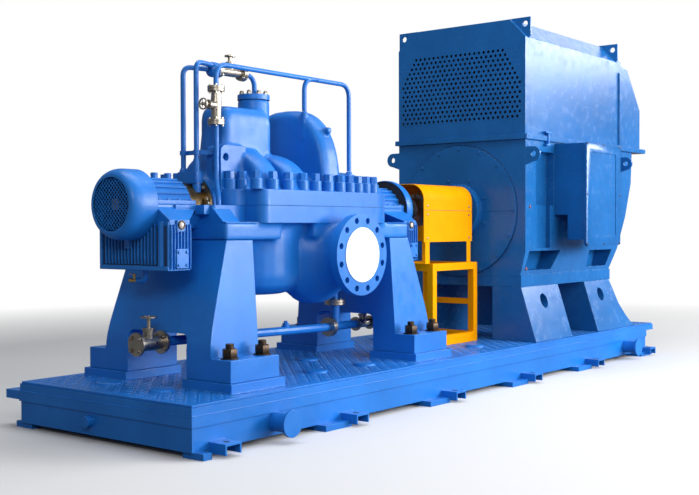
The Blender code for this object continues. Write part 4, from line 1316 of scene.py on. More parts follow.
@dataclass
class Pedestals:
    """The two portal pedestals with their sole plates and foundation bolts."""

    names: tuple[str, str] = ("nde", "de")
    middles: tuple[float, float] = (-2.1525, -0.5455)
    bolt_x: tuple[float, ...] = (-2.27, -2.03, -0.668, -0.428)
    bolt_y: float = 0.482
    far_shift: float = 0.085
    foot_z: float = 0.415
    first_turn: float = 0.4
    sole_half: float = 0.2015
    sole_y: tuple[float, float] = (0.220, 0.574)
    bead_lift: float = 0.001
    leg_y: float = 0.413
    leg_inset: float = 0.022

    def build(self, shop: Workshop) -> None:
        """Dress the pedestals.

        Args:
            shop: the workshop.
        """
        for tag in self.names:
            shop.dress("pedestal_" + tag, Finish.PLATE, 0.004)
            for label in ("near", "far"):
                shop.dress("sole_plate_%s_%s" % (tag, label), Finish.PLATE, 0.002)
        seats = [Seat((x, -self.bolt_y, self.foot_z), spin=self.first_turn + i) for i, x in enumerate(self.bolt_x)]
        seats += [Seat((x + self.far_shift * ((i + 1) % 2), self.bolt_y, self.foot_z), spin=self.first_turn + i)
                  for i, x in enumerate(self.bolt_x)]
        shop.bolt_up("foundation_nuts", "foundation_nut", seats, Finish.OILED)
        shop.bolt_up("foundation_studs", "foundation_stud", seats, Finish.OILED)
        shop.weld("pedestal_welds", self.seams(), bead=0.005)

    def seams(self) -> list[list[Point]]:
        """Weld runs where the sole plates meet the deck and where the legs meet the feet.

        Returns:
            The runs.
        """
        deck, foot = DECK_Z + self.bead_lift, self.foot_z + self.bead_lift
        runs: list[list[Point]] = []
        for middle in self.middles:
            left, right = middle - self.sole_half, middle + self.sole_half
            for side in (-1, 1):
                root, edge = (side * y for y in self.sole_y)
                runs.append([(left, root, deck), (left, edge, deck), (right, edge, deck), (right, root, deck)])
                runs.append([(left + self.leg_inset, side * self.leg_y, foot),
                             (right - self.leg_inset, side * self.leg_y, foot)])
        return runs


@dataclass
class Casing:
    """The split casing with its cap nuts, nozzles and white nozzle covers."""

    top_z: float = 1.288
    top_cut: float = 0.0002
    top_lap: float = 0.0006
    upper_cell: float = 0.0085
    row_y: float = 0.360
    row_x: tuple[float, ...] = (-1.938, -1.808, -1.680, -1.557, -1.443, -1.330, -1.220, -1.130, -1.048, -0.974)
    end_centre: tuple[float, float] = (-0.910, -0.160)
    end_radius: float = 0.200
    end_angles: tuple[float, ...] = (273.0, 338.0)
    left_seats: tuple[tuple[float, float], ...] = ((-1.985, -0.205), (-1.919, -0.235))
    nut_turn: float = 0.3
    lower_z: float = 1.106
    lower_cut: float = 0.0005
    lower_lap: float = 0.0015
    lower_cell: float = 0.0095
    disc_y: float = 0.508
    disc_lap: float = 0.001
    cover_seam_radius: float = 0.0935
    cover_seam_z: float = 1.8197
    gland_back_x: float = -2.0706
    gland_front_x: float = -2.0906
    gland_radii: tuple[float, float] = (0.164, 0.122)
    gland_lift: float = 0.001
    gland_bolt_circle: float = 0.144
    gland_bolt_angles: tuple[float, ...] = (14, 42, 138, 166)
    clamp_bolt: tuple[float, float] = (0.150, 0.012)
    inner_gland_x: float = -0.610
    inner_bolt_circle: float = 0.084
    lug_x: tuple[float, float] = (-2.036, -1.842)
    lug_y: float = -0.082
    lug_thick: float = 0.109
    lug_top: float = 1.530
    lug_sink: float = 0.001
    lug_corner: float = 0.040
    lug_eye: Point = (-1.997, -0.060, 1.463)
    lug_eye_radius: float = 0.020
    split_x: tuple[float, float] = (-1.870, -0.910)
    split_y: float = -0.3985
    split_radius: float = 0.2385

    def build(self, shop: Workshop) -> None:
        """Dress the casing.

        Args:
            shop: the workshop.
        """
        shop.dress("casing_upper", Finish.PLATE, 0.003,
                   clip=[((0.0, 0.0, self.top_z - self.top_cut), (0.0, 0.0, 1.0))], name="casing_upper_flange")
        shop.cast("casing_upper_body", "casing_upper", self.upper_cell, 11,
                  [((0.0, 0.0, self.top_z + self.top_lap), (0.0, 0.0, -1.0))])
        self.lower(shop)
        shop.bolt_up("casing_cap_nuts", "cap_nut", self.cap_seats(), Finish.PLATE)
        shop.dress("tower_cover", Finish.PLATE, 0.0012)
        # A thin dark bead, painted as the shade in the cover's seam.
        seam = [(x, y, self.cover_seam_z)
                for x, y in on_circle(self.cover_seam_radius, degrees(range(0, 361, 10)), TOWER_X)]
        shop.weld("tower_cover_seam", [seam], Finish.SEAM, bead=0.0013, step=0.02)
        for side in ("near", "far"):
            shop.dress("nozzle_cover_" + side, Finish.FILM, 0.001)
        for tag in ("nde", "de"):
            shop.dress("seal_gland_" + tag, Finish.GLAND, 0.002)
        self.glands(shop)
        self.lug(shop)
        # The split line is a thin dark bead, painted as the shade in the joint.
        shop.weld("casing_split_line", self.split_line(), Finish.SEAM, bead=0.0018, step=0.03)

    def lower(self, shop: Workshop) -> None:
        """The lower half: flange and nozzle discs crisp, all else as cast.

        Args:
            shop: the workshop.
        """
        base = self.lower_z - self.lower_cut
        beyond = [((0.0, side * (self.disc_y + self.disc_lap), 0.0), (0.0, side, 0.0)) for side in (-1, 1)]
        shop.dress("casing_lower", Finish.PLATE, 0.003,
                   clip=[((0.0, 0.0, base), (0.0, 0.0, -1.0))] + beyond, name="casing_lower_flange")
        for side, label in ((-1, "near"), (1, "far")):
            shop.dress("casing_lower", Finish.PLATE, 0.002,
                       clip=[((0.0, side * self.disc_y, 0.0), (0.0, -side, 0.0))], name="nozzle_flange_" + label)
        shop.cast("casing_lower_body", "casing_lower", self.lower_cell, 12,
                  [((0.0, 0.0, base + self.lower_lap), (0.0, 0.0, 1.0))] + beyond)

    def glands(self, shop: Workshop) -> None:
        """The outer gland's half flange against the casing, and the bolts of both glands.

        Args:
            shop: the workshop.
        """
        rim, bore = self.gland_radii
        outline = on_circle(rim, degrees(range(0, 181, 6))) + on_circle(bore, degrees(range(180, -1, -6)))
        stand = upright_left(self.gland_back_x, SHAFT_Z + self.gland_lift)
        half = Shape().prism(outline, 0.0, self.gland_back_x - self.gland_front_x).moved(stand)
        shop.make("seal_gland_flange", half, Finish.GLAND, bevel=0.002)
        seats = face_seats(self.gland_front_x, self.gland_bolt_circle, degrees(self.gland_bolt_angles), Facing.LEFT)
        reach, lift = self.clamp_bolt
        seats += [Seat((self.gland_front_x, side * reach, SHAFT_Z + lift), Facing.LEFT) for side in (-1, 1)]
        shop.bolt_up("gland_bolts", "hex_bolt", seats, Finish.STAINLESS, size=0.0115)
        inner = face_seats(self.inner_gland_x, self.inner_bolt_circle, degrees(range(30, 361, 60)), Facing.RIGHT)
        shop.bolt_up("inner_gland_bolts", "hex_bolt", inner, Finish.STAINLESS, size=0.0100)

    def lug(self, shop: Workshop) -> None:
        """The lifting plate on the near side, with its eye.

        Args:
            shop: the workshop.
        """
        (x0, x1), top, corner, foot = self.lug_x, self.lug_top, self.lug_corner, self.top_z - self.lug_sink
        outline = [(x0, foot), (x1, foot), (x1, top)]
        outline += on_circle(corner, degrees(range(90, 181, 10)), x0 + corner, top - corner)
        plate = Shape().prism(outline, 0.0, self.lug_thick).moved(upright_near(self.lug_y))
        eye = Shape().turned([(-0.02, self.lug_eye_radius), (0.20, self.lug_eye_radius)], 28)
        eye.moved(aimed(self.lug_eye, Facing.NEAR))
        shop.add("casing_lug_plate", pierced(plate, eye, "casing_lug_plate", 0.003), Finish.PLATE)

    def cap_seats(self) -> list[Seat]:
        """Where the cap nuts stand, on both sides.

        Returns:
            Their seats.
        """
        places = [(x, -self.row_y) for x in self.row_x]
        places += on_circle(self.end_radius, degrees(self.end_angles), *self.end_centre)
        places += list(self.left_seats)
        return [Seat((x, side * y, self.top_z), spin=self.nut_turn * i)
                for side in (1, -1) for i, (x, y) in enumerate(places)]

    def split_line(self) -> list[list[Point]]:
        """The joint between the casing halves, just inside the flange's edge.

        Returns:
            The line's runs.
        """
        near = [(x, self.split_y, SHAFT_Z) for x in self.split_x]
        near += [(x, y, SHAFT_Z)
                 for x, y in on_circle(self.split_radius, degrees(range(280, 361, 10)), *self.end_centre)]
        return [near, [(x, -y, z) for x, y, z in near]]


@dataclass
class BearingEnd:
    """A finned bearing housing with its cap, fan cowl, sight glasses and oil fittings.

    outer_x is where the cowl meets the housing, and the housing reaches from there towards the side of sign.
    """

    tag: str
    outer_x: float
    sign: int
    cowl_front: float
    cowl_radius: float
    grille_radius: float
    glass_x: float
    plate_x: tuple[float, float]
    plate_z: tuple[float, float]
    hole: float = 0.0
    seat_gap: float = 0.0003
    shoulder: float = 0.074
    shoulder_steps: int = 12
    lip: float = 0.006
    inner_lip: float = 0.002
    wall: float = 0.005
    screen_pitch: float = 0.0165
    screen_wire: float = 0.0028
    screen_back: float = 0.004
    ring_hole: float = 0.058
    ring_gap: float = 0.008
    ring_depth: float = 0.002
    ring_back: float = 0.003
    fin_count: int = 16
    fin_pitch: float = 0.0256
    fin_size: tuple[float, float] = (0.008, 0.014)
    fin_middle: float = 0.025
    fin_ends: tuple[float, float] = (0.030, 0.015)
    rib_count: int = 7
    rib_pitch: float = 0.0215
    rib_size: tuple[float, float] = (0.006, 0.016)
    rib_row: float = 0.138
    rib_short: float = 0.030
    rib_drop: float = 0.008
    rib_reach: float = 0.005
    sump_y: float = 0.266
    sump_z: tuple[float, float] = (0.862, 1.120)
    shade_sheet_depth: float = 0.0015
    shade_sheet_inset: tuple[float, float] = (0.008, 0.012)
    shade_sheet_foot: float = 0.020
    rail_z: float = 0.024
    frame_top: float = 0.010
    near_edge: tuple[float, float] = (0.012, 0.010)
    far_edge: float = 0.018
    boss: tuple[float, float, float, float] = (0.019, 0.064, 0.972, 1.026)
    boss_depth: float = 0.018
    post_y: float = -0.206
    post_radius: float = 0.020
    post_ends: tuple[float, float] = (0.022, 0.008)
    post_sink: float = 0.002
    side_gap: float = 0.001
    pad_half: float = 0.030
    pad_depth: float = 0.011
    pad_z: tuple[float, float] = (1.058, 1.119)
    plate_corner: float = 0.006
    plate_depth: float = 0.018
    plate_bolts: tuple[float, float] = (0.014, 0.016)
    glass_z: float = 1.094
    rib_half: tuple[float, float] = (0.126, 0.006)
    rib_height: tuple[float, float] = (-0.006, 0.012)
    rib_angles: tuple[float, ...] = (26, 42, 58, 74, 106, 122, 138, 154)
    cap_radius: float = 0.135
    cap_middle: float = 0.1375
    cap_bolts_x: tuple[float, ...] = (0.028, 0.092, 0.164, 0.246)
    cap_bolts_y: float = 0.156
    cap_bolts_z: float = 1.224
    plugs_x: tuple[float, float] = (0.135, 0.230)
    plugs_z: float = 1.361

    def build(self, shop: Workshop) -> None:
        """Dress one end.

        Args:
            shop: the workshop.
        """
        shop.dress("bearing_housing_" + self.tag, Finish.CAST, 0.004)
        shop.dress("bearing_cap_" + self.tag, Finish.CAST, 0.003)
        self.cowl(shop)
        self.sump(shop)
        self.fittings(shop)
        self.cap(shop)

    def cowl(self, shop: Workshop) -> None:
        """The rounded fan cowl, its wire screen and a ring behind it, painted as the shade inside the cowl.

        Args:
            shop: the workshop.
        """
        back = self.outer_x - self.sign * self.seat_gap
        s, r, g = -self.sign, self.cowl_radius, self.grille_radius
        depth = abs(self.cowl_front - back)
        base = depth - self.shoulder
        outer, inner = [(0.0, r)], [(depth - self.lip, g)]
        for i in range(self.shoulder_steps + 1):
            share = i / self.shoulder_steps
            t, back_t = math.pi / 2 * share, math.pi / 2 * (1 - share)
            outer.append((base + self.shoulder * math.sin(t), g + self.lip + (r - g - self.lip) * math.cos(t)))
            inner.append((base + (self.shoulder - self.wall) * math.sin(back_t),
                          g + self.inner_lip + (r - g - self.inner_lip - self.wall) * math.cos(back_t)))
        outer.append((depth, g))
        inner.append((0.0, r - self.wall))
        shell = Shape().turned(outer + inner, 72, close=True)
        shell.moved(Matrix.Translation((back, 0.0, SHAFT_Z)) @ Matrix.Rotation(s * math.pi / 2, 4, "Y"))
        shop.make("fan_cowl_shell_" + self.tag, shell, Finish.CAST, smooth=ROUND,
                  stands_for=("fan_cowl_" + self.tag,), slot="blue_paint")
        screen = shop.screen.grow("fan_screen_" + self.tag, Finish.PLATE, Radius=g + self.screen_back,
                                  Pitch=self.screen_pitch, Wire=self.screen_wire)
        front = Matrix.Translation((self.cowl_front - s * self.screen_back, 0.0, SHAFT_Z))
        screen.data.transform(front @ Matrix.Rotation(math.pi / 2, 4, "Y") @ Matrix.Rotation(math.pi / 4, 4, "Z"))
        if self.hole > 0.0:
            self.clear_middle(screen.data)
        shop.keep(screen)
        # A ring of painted shade behind the screen, where the inside of the cowl is dark.
        rim = r - self.ring_gap
        ring = Shape().turned([(0.0, self.ring_hole), (0.0, rim), (self.ring_depth, rim),
                               (self.ring_depth, self.ring_hole)], 64, close=True)
        ring.moved(aimed((back - self.sign * self.ring_back, 0.0, SHAFT_Z), (s, 0.0, 0.0)))
        shop.make("fan_back_ring_" + self.tag, ring, Finish.SOOT)

    def clear_middle(self, mesh: bpy.types.Mesh) -> None:
        """Open the screen round the shaft.

        Args:
            mesh: the screen's mesh.
        """
        bm = bmesh.new()
        bm.from_mesh(mesh)
        near = [v for v in bm.verts if math.hypot(v.co.y, v.co.z - SHAFT_Z) < self.hole]
        bmesh.ops.delete(bm, geom=near, context="VERTS")
        bm.to_mesh(mesh)
        bm.free()

    def sump(self, shop: Workshop) -> None:
        """Fins, border and pilaster on the sump's face, a dark sheet behind the fins painted as the shade between
        them, and ribs on its sides.

        Args:
            shop: the workshop.
        """
        x, s, y = self.outer_x, self.sign, self.sump_y
        low, high = self.sump_z
        (thick, depth), (under, over) = self.fin_size, self.fin_ends
        tall = high - low - under - over
        fins = shop.rows.grow("sump_fins_" + self.tag, Finish.CAST, Shape=shop.shapes["fin"], Count=self.fin_count,
                              Pitch=self.fin_pitch, Thickness=thick, Depth=depth, Length=tall)
        turn = Matrix.Rotation(math.pi / 2, 4, "Z")
        fins.data.transform(Matrix.Translation((x - s * depth / 2, self.fin_middle, low + under + tall / 2)) @ turn)
        shop.keep(fins)
        # A dark sheet behind the fins, painted as the shade between them.
        near, far = self.shade_sheet_inset
        back = Shape().slab(*sorted((x - s * self.shade_sheet_depth, x)), near - y, y - far, low + self.shade_sheet_foot,
                            high - under)
        shop.make("sump_fin_back_" + self.tag, back, Finish.SEAM)
        rail, top = low + self.rail_z, high - self.frame_top
        wide, shallow = self.near_edge
        border = Shape().slab(x - s * depth, x, -y, y, low, rail)
        border.slab(x - s * shallow, x, -y, wide - y, rail, top)
        border.slab(x - s * depth, x, y - self.far_edge, y, rail, top)
        border.slab(x - s * self.boss_depth, x, *self.boss)
        shop.make("sump_border_" + self.tag, border, Finish.CAST, bevel=0.002)
        under, over = self.post_ends
        post = Shape().turned([(low + under, self.post_radius), (high - over, self.post_radius)], 28)
        post.moved(Matrix.Translation((x + s * self.post_sink, self.post_y, 0.0)))
        shop.make("sump_post_" + self.tag, post, Finish.CAST, smooth=ROUND)
        thick, depth = self.rib_size
        for side, label in ((-1, "near"), (1, "far")):
            ribs = shop.rows.grow("sump_ribs_%s_%s" % (self.tag, label), Finish.CAST, Shape=shop.shapes["fin"],
                                  Count=self.rib_count, Pitch=self.rib_pitch, Thickness=thick, Depth=depth,
                                  Length=high - low - self.rib_short)
            ribs.data.transform(Matrix.Translation((x + s * self.rib_row / 2, side * (y + self.rib_reach),
                                                    (low + high) / 2 - self.rib_drop)))
            shop.keep(ribs)

    def fittings(self, shop: Workshop) -> None:
        """The sight glass on its pad and the bolted oil plate, on the sump's near side.

        Args:
            shop: the workshop.
        """
        y = -(self.sump_y + self.side_gap)
        pad = Shape().slab(self.glass_x - self.pad_half, self.glass_x + self.pad_half, y - self.pad_depth, y,
                           *self.pad_z)
        shop.make("sight_pad_" + self.tag, pad, Finish.CAST, bevel=0.003)
        (x0, x1), (z0, z1) = self.plate_x, self.plate_z
        in_x, in_z = self.plate_bolts
        plate = Shape().prism(rounded(x0, x1, z0, z1, self.plate_corner), 0.0, self.plate_depth)
        shop.make("oil_plate_" + self.tag, plate.moved(upright_near(y)), Finish.PLATE, bevel=0.0015)
        bolts = [Seat((x, y - self.plate_depth, z), Facing.NEAR, 0.5)
                 for x in (x0 + in_x, x1 - in_x) for z in (z0 + in_z, z1 - in_z)]
        shop.bolt_up("oil_plate_bolts_" + self.tag, "hex_bolt", bolts, Finish.PLATE, size=0.0075)
        glass = aimed((self.glass_x, y, self.glass_z), Facing.NEAR)
        ring = Shape().turned([(0.0, 0.024), (0.014, 0.024), (0.017, 0.022), (0.017, 0.0175), (0.013, 0.0165),
                               (0.0, 0.0165)], 28, close=True).moved(glass)
        shop.make("sight_ring_" + self.tag, ring, Finish.OILED)
        disc = Shape().turned([(0.0, 0.0170), (0.012, 0.0170), (0.0175, 0.012), (0.0200, 0.004)], 24).moved(glass)
        shop.make("sight_disc_" + self.tag, disc, Finish.LENS, smooth=DOME)

    def cap(self, shop: Workshop) -> None:
        """Long ribs over the cap, bolts on its flange and rims on its plugs.

        Args:
            shop: the workshop.
        """
        x, s = self.outer_x, self.sign
        long, thin = self.rib_half
        ribs = Shape()
        for t in degrees(self.rib_angles):
            rib = Shape().slab(-long, long, -thin, thin, *self.rib_height)
            foot = Matrix.Translation((x + s * self.cap_middle, self.cap_radius * math.cos(t),
                                       SHAFT_Z + self.cap_radius * math.sin(t)))
            ribs.join(rib.moved(foot @ Matrix.Rotation(t - math.pi / 2, 4, "X")))
        shop.make("cap_ribs_" + self.tag, ribs, Finish.CAST, bevel=0.003)
        seats = [Seat((x + s * off, side * self.cap_bolts_y, self.cap_bolts_z), spin=0.4)
                 for off in self.cap_bolts_x for side in (-1, 1)]
        shop.bolt_up("cap_bolts_" + self.tag, "hex_bolt", seats, Finish.PLATE, size=0.0085)
        rims = [Seat((x + s * off, 0.0, self.plugs_z)) for off in self.plugs_x]
        shop.bolt_up("cap_plug_rims_" + self.tag, "bolt_hole", rims, Finish.PLATE, size=0.0225)


@dataclass
class Rotor:
    """Shafts, fans and coupling, which turn together."""

    bolt_circle: float = 0.0995
    bolt_count: int = 8
    bolt_size: float = 0.008
    faces: tuple[tuple[float, Facing], ...] = ((0.080, Facing.LEFT), (0.110, Facing.RIGHT), (0.350, Facing.LEFT),
                                               (0.380, Facing.RIGHT))

    def build(self, shop: Workshop) -> None:
        """Dress the rotor.

        Args:
            shop: the workshop.
        """
        for node in ("pump_shaft", "motor_shaft"):
            shop.dress(node, Finish.STAINLESS, 0.001)
        # The fans are painted the dark of the shade inside the cowls.
        for node in ("fan_nde", "fan_de"):
            shop.dress(node, Finish.SOOT, 0.0)
        shop.dress("coupling", Finish.MACHINED, 0.002)
        seats = []
        for x, facing in self.faces:
            seats += face_seats(x, self.bolt_circle, evenly(self.bolt_count), facing)
        shop.bolt_up("coupling_bolts", "hex_bolt", seats, Finish.BROWNED, "rotor", self.bolt_size)


@dataclass
class Guard:
    """The yellow coupling guard and its stand."""

    x: tuple[float, float] = (-0.100, 0.520)
    half: float = 0.196
    seam_z: float = 1.197
    seam_end: float = 0.002
    seam_lift: float = 0.0004
    screw_inset: float = 0.045
    screw_drop: float = 0.030
    low_inset: float = 0.044
    low_z: float = 1.004
    screw_size: float = 0.0075

    def build(self, shop: Workshop) -> None:
        """Dress the guard.

        Args:
            shop: the workshop.
        """
        shop.dress("coupling_guard", Finish.YELLOW, 0.0012)
        shop.dress("guard_stand", Finish.YELLOW, 0.003)
        x0, x1 = self.x
        places = [(x, z) for x in (x0 + self.screw_inset, x1 - self.screw_inset)
                  for z in (self.seam_z - self.screw_drop, self.seam_z + self.screw_drop)]
        places += [(x, self.low_z) for x in (x0 + self.low_inset, x1 - self.low_inset)]
        seams, screws = [], []
        for side, facing in ((-1, Facing.NEAR), (1, Facing.FAR)):
            y = side * (self.half + self.seam_lift)
            seams.append([(x0 + self.seam_end, y, self.seam_z), (x1 - self.seam_end, y, self.seam_z)])
            screws += [Seat((x, side * self.half, z), facing) for x, z in places]
        # Thin dark beads, painted as the shade in the guard's lap joint.
        shop.weld("guard_seam", seams, Finish.SEAM, bead=0.0012, step=0.05)
        shop.bolt_up("guard_screws", "pan_screw", screws, Finish.MACHINED, size=self.screw_size)


@dataclass
class Motor:
    """The box-type motor: frame, legs, end shield, hood, terminal box."""

    legs: tuple[str, ...] = ("near_front", "near_rear", "far_front", "far_rear")
    hood_x: float = 0.660
    half: float = 0.555
    field_z: float = 2.12
    field_lift: float = 0.0006
    pocket: tuple[tuple[float, float], ...] = ((-0.520, -0.2535), (0.520, -0.2535), (0.520, 0.0517), (0.403, 0.2535),
                                               (-0.383, 0.2535), (-0.520, 0.0172))
    pocket_half: float = 0.050
    columns: int = 27
    rows: int = 15
    ridge_x: tuple[float, float] = (2.236, 2.296)
    ridge_y: tuple[float, float] = (0.553, 0.569)
    ridge_z: tuple[float, float] = (1.763, 2.360)
    shield_x: float = 0.650
    shield_bolts: tuple[tuple[float, int, float], ...] = ((0.462, 16, 0.0), (0.240, 8, 0.5))
    shield_seam_x: float = 0.6505
    shield_seam_y: tuple[float, float] = (0.205, 0.480)
    shield_gap_x: float = 0.6635
    shield_gap_radius: float = 0.4905
    latch_y: tuple[float, float] = (0.002, 0.031)
    latch_boxes: tuple[tuple[float, float, float, float], ...] = (
        (0.957, 0.971, 1.686, 1.776), (0.918, 1.010, 1.770, 1.782), (0.936, 0.992, 1.678, 1.690))
    plug_places: tuple[tuple[float, float], ...] = ((0.727, 1.227), (0.673, 0.779))
    plug_lift: float = 0.0005
    cover_y: float = -0.7983
    cover_x: tuple[float, float] = (1.104, 1.698)
    cover_z: tuple[float, float] = (0.938, 1.706)
    cover_corner: float = 0.035
    cover_depth: float = 0.0150
    border_depth: tuple[float, float] = (0.0140, 0.0205)
    inset_x: tuple[float, float] = (1.186, 1.616)
    inset_z: tuple[float, float] = (1.010, 1.634)
    inset_corner: float = 0.020
    inset_depth: tuple[float, float] = (0.0100, 0.0300)
    screw_y: float = -0.8168
    screw_x: tuple[float, ...] = (1.118, 1.401, 1.684)
    screw_z: tuple[float, float] = (0.952, 1.692)
    screw_middle_z: float = 1.322

    def build(self, shop: Workshop) -> None:
        """Dress the motor.

        Args:
            shop: the workshop.
        """
        for leg in self.legs:
            shop.dress("motor_leg_" + leg, Finish.SHEET, 0.004)
        shop.dress("motor_frame", Finish.SHEET, 0.003)
        shop.dress("motor_end_shield", Finish.SHEET, 0.002)
        shop.dress("terminal_box", Finish.SHEET, 0.003)
        self.hood(shop)
        self.front(shop)
        self.terminals(shop)

    def hood(self, shop: Workshop) -> None:
        """The hood with its punched field of plain holes, cut open behind with the pocket's walls in painted shade,
        and its side ridges.

        Args:
            shop: the workshop.
        """
        piece = shop.copy("motor_hood", "motor_hood_finished")
        place = upright_left(self.hood_x, self.field_z)
        pocket = Shape().prism(list(self.pocket), -self.pocket_half, self.pocket_half).moved(place)
        cutter = hidden_shape(pocket, "hood_pocket")
        # The pocket's cut walls take this painted shade.
        cutter.data.materials.append(material(Finish.SOOT))
        cut_away(piece, cutter).material_mode = "TRANSFER"
        piece.data.materials.append(material(Finish.SHEET))
        round_edges(piece, 0.004)
        crisp(piece.data, SHARP)
        piece.data = solid_copy(piece, "motor_hood_finished")
        piece.modifiers.clear()
        bpy.data.objects.remove(cutter, do_unlink=True)
        shop.keep(piece, MACHINE, ("motor_hood",))
        sheet = shop.punched.grow("hood_punched_field", Finish.SHEET, Cell=shop.shapes["punched_cell"],
                                  Columns=self.columns, Rows=self.rows, Pitch=CELL_SIZE[0], Row_pitch=CELL_SIZE[1])
        sheet.data.transform(Matrix.Translation((-self.field_lift, 0.0, 0.0)) @ place)
        shop.keep(sheet)
        ridges = Shape()
        for side in (-1, 1):
            ridges.slab(*self.ridge_x, *sorted(side * y for y in self.ridge_y), *self.ridge_z)
        shop.make("hood_side_ridges", ridges, Finish.SHEET, bevel=0.006)

    def front(self, shop: Workshop) -> None:
        """Bolts and seams on the front, clamps and plugs beside it.

        Args:
            shop: the workshop.
        """
        seats = []
        for circle, count, phase in self.shield_bolts:
            seats += face_seats(self.shield_x, circle, evenly(count, phase), Facing.LEFT)
        shop.bolt_up("end_shield_bolts", "hex_bolt", seats, Finish.SHEET, size=0.0085)
        inner, outer = self.shield_seam_y
        seams = [[(self.shield_seam_x, a, SHAFT_Z), (self.shield_seam_x, b, SHAFT_Z)]
                 for a, b in ((-outer, -inner), (inner, outer))]
        shop.weld("end_shield_seam", seams, Finish.SHEET, bead=0.003, step=0.04)
        # A thin dark ring, painted as the shade in the gap round the end shield.
        ring = [(self.shield_gap_x, y, z)
                for y, z in on_circle(self.shield_gap_radius, degrees(range(0, 361, 6)), 0.0, SHAFT_Z)]
        shop.weld("end_shield_gap", [ring], Finish.SEAM, bead=0.0025, step=0.03)
        latches = Shape()
        for side in (-1, 1):
            y0, y1 = sorted(side * (self.half + y) for y in self.latch_y)
            for x0, x1, z0, z1 in self.latch_boxes:
                latches.slab(x0, x1, y0, y1, z0, z1)
        shop.make("hood_latches", latches, Finish.PLATE, bevel=0.0015)
        plugs = [Seat((x, -self.half - self.plug_lift, z), Facing.NEAR) for x, z in self.plug_places]
        shop.bolt_up("frame_plugs", "pan_screw", plugs, Finish.PLUG, size=0.011)

    def terminals(self, shop: Workshop) -> None:
        """The terminal box's cover with its raised border, and the screws round it.

        Args:
            shop: the workshop.
        """
        stand = upright_near(self.cover_y)
        outline = rounded(*self.cover_x, *self.cover_z, self.cover_corner)
        cover = Shape().prism(outline, 0.0, self.cover_depth)
        face = Shape().prism(outline, *self.border_depth)
        inset = Shape().prism(rounded(*self.inset_x, *self.inset_z, self.inset_corner), *self.inset_depth)
        whole = Shape()
        whole.bm.from_mesh(pierced(face.moved(stand), inset.moved(stand), "cover_border", 0.0015))
        whole.join(cover.moved(stand))
        shop.make("terminal_cover_finished", whole, Finish.SHEET, stands_for=("terminal_cover",), slot="blue_paint")
        places = [(x, z) for x in self.screw_x for z in self.screw_z]
        places += [(x, self.screw_middle_z) for x in (self.screw_x[0], self.screw_x[-1])]
        seats = [Seat((x, self.screw_y, z), Facing.NEAR) for x, z in places]
        shop.bolt_up("terminal_cover_screws", "pan_screw", seats, Finish.OILED, size=0.0085)


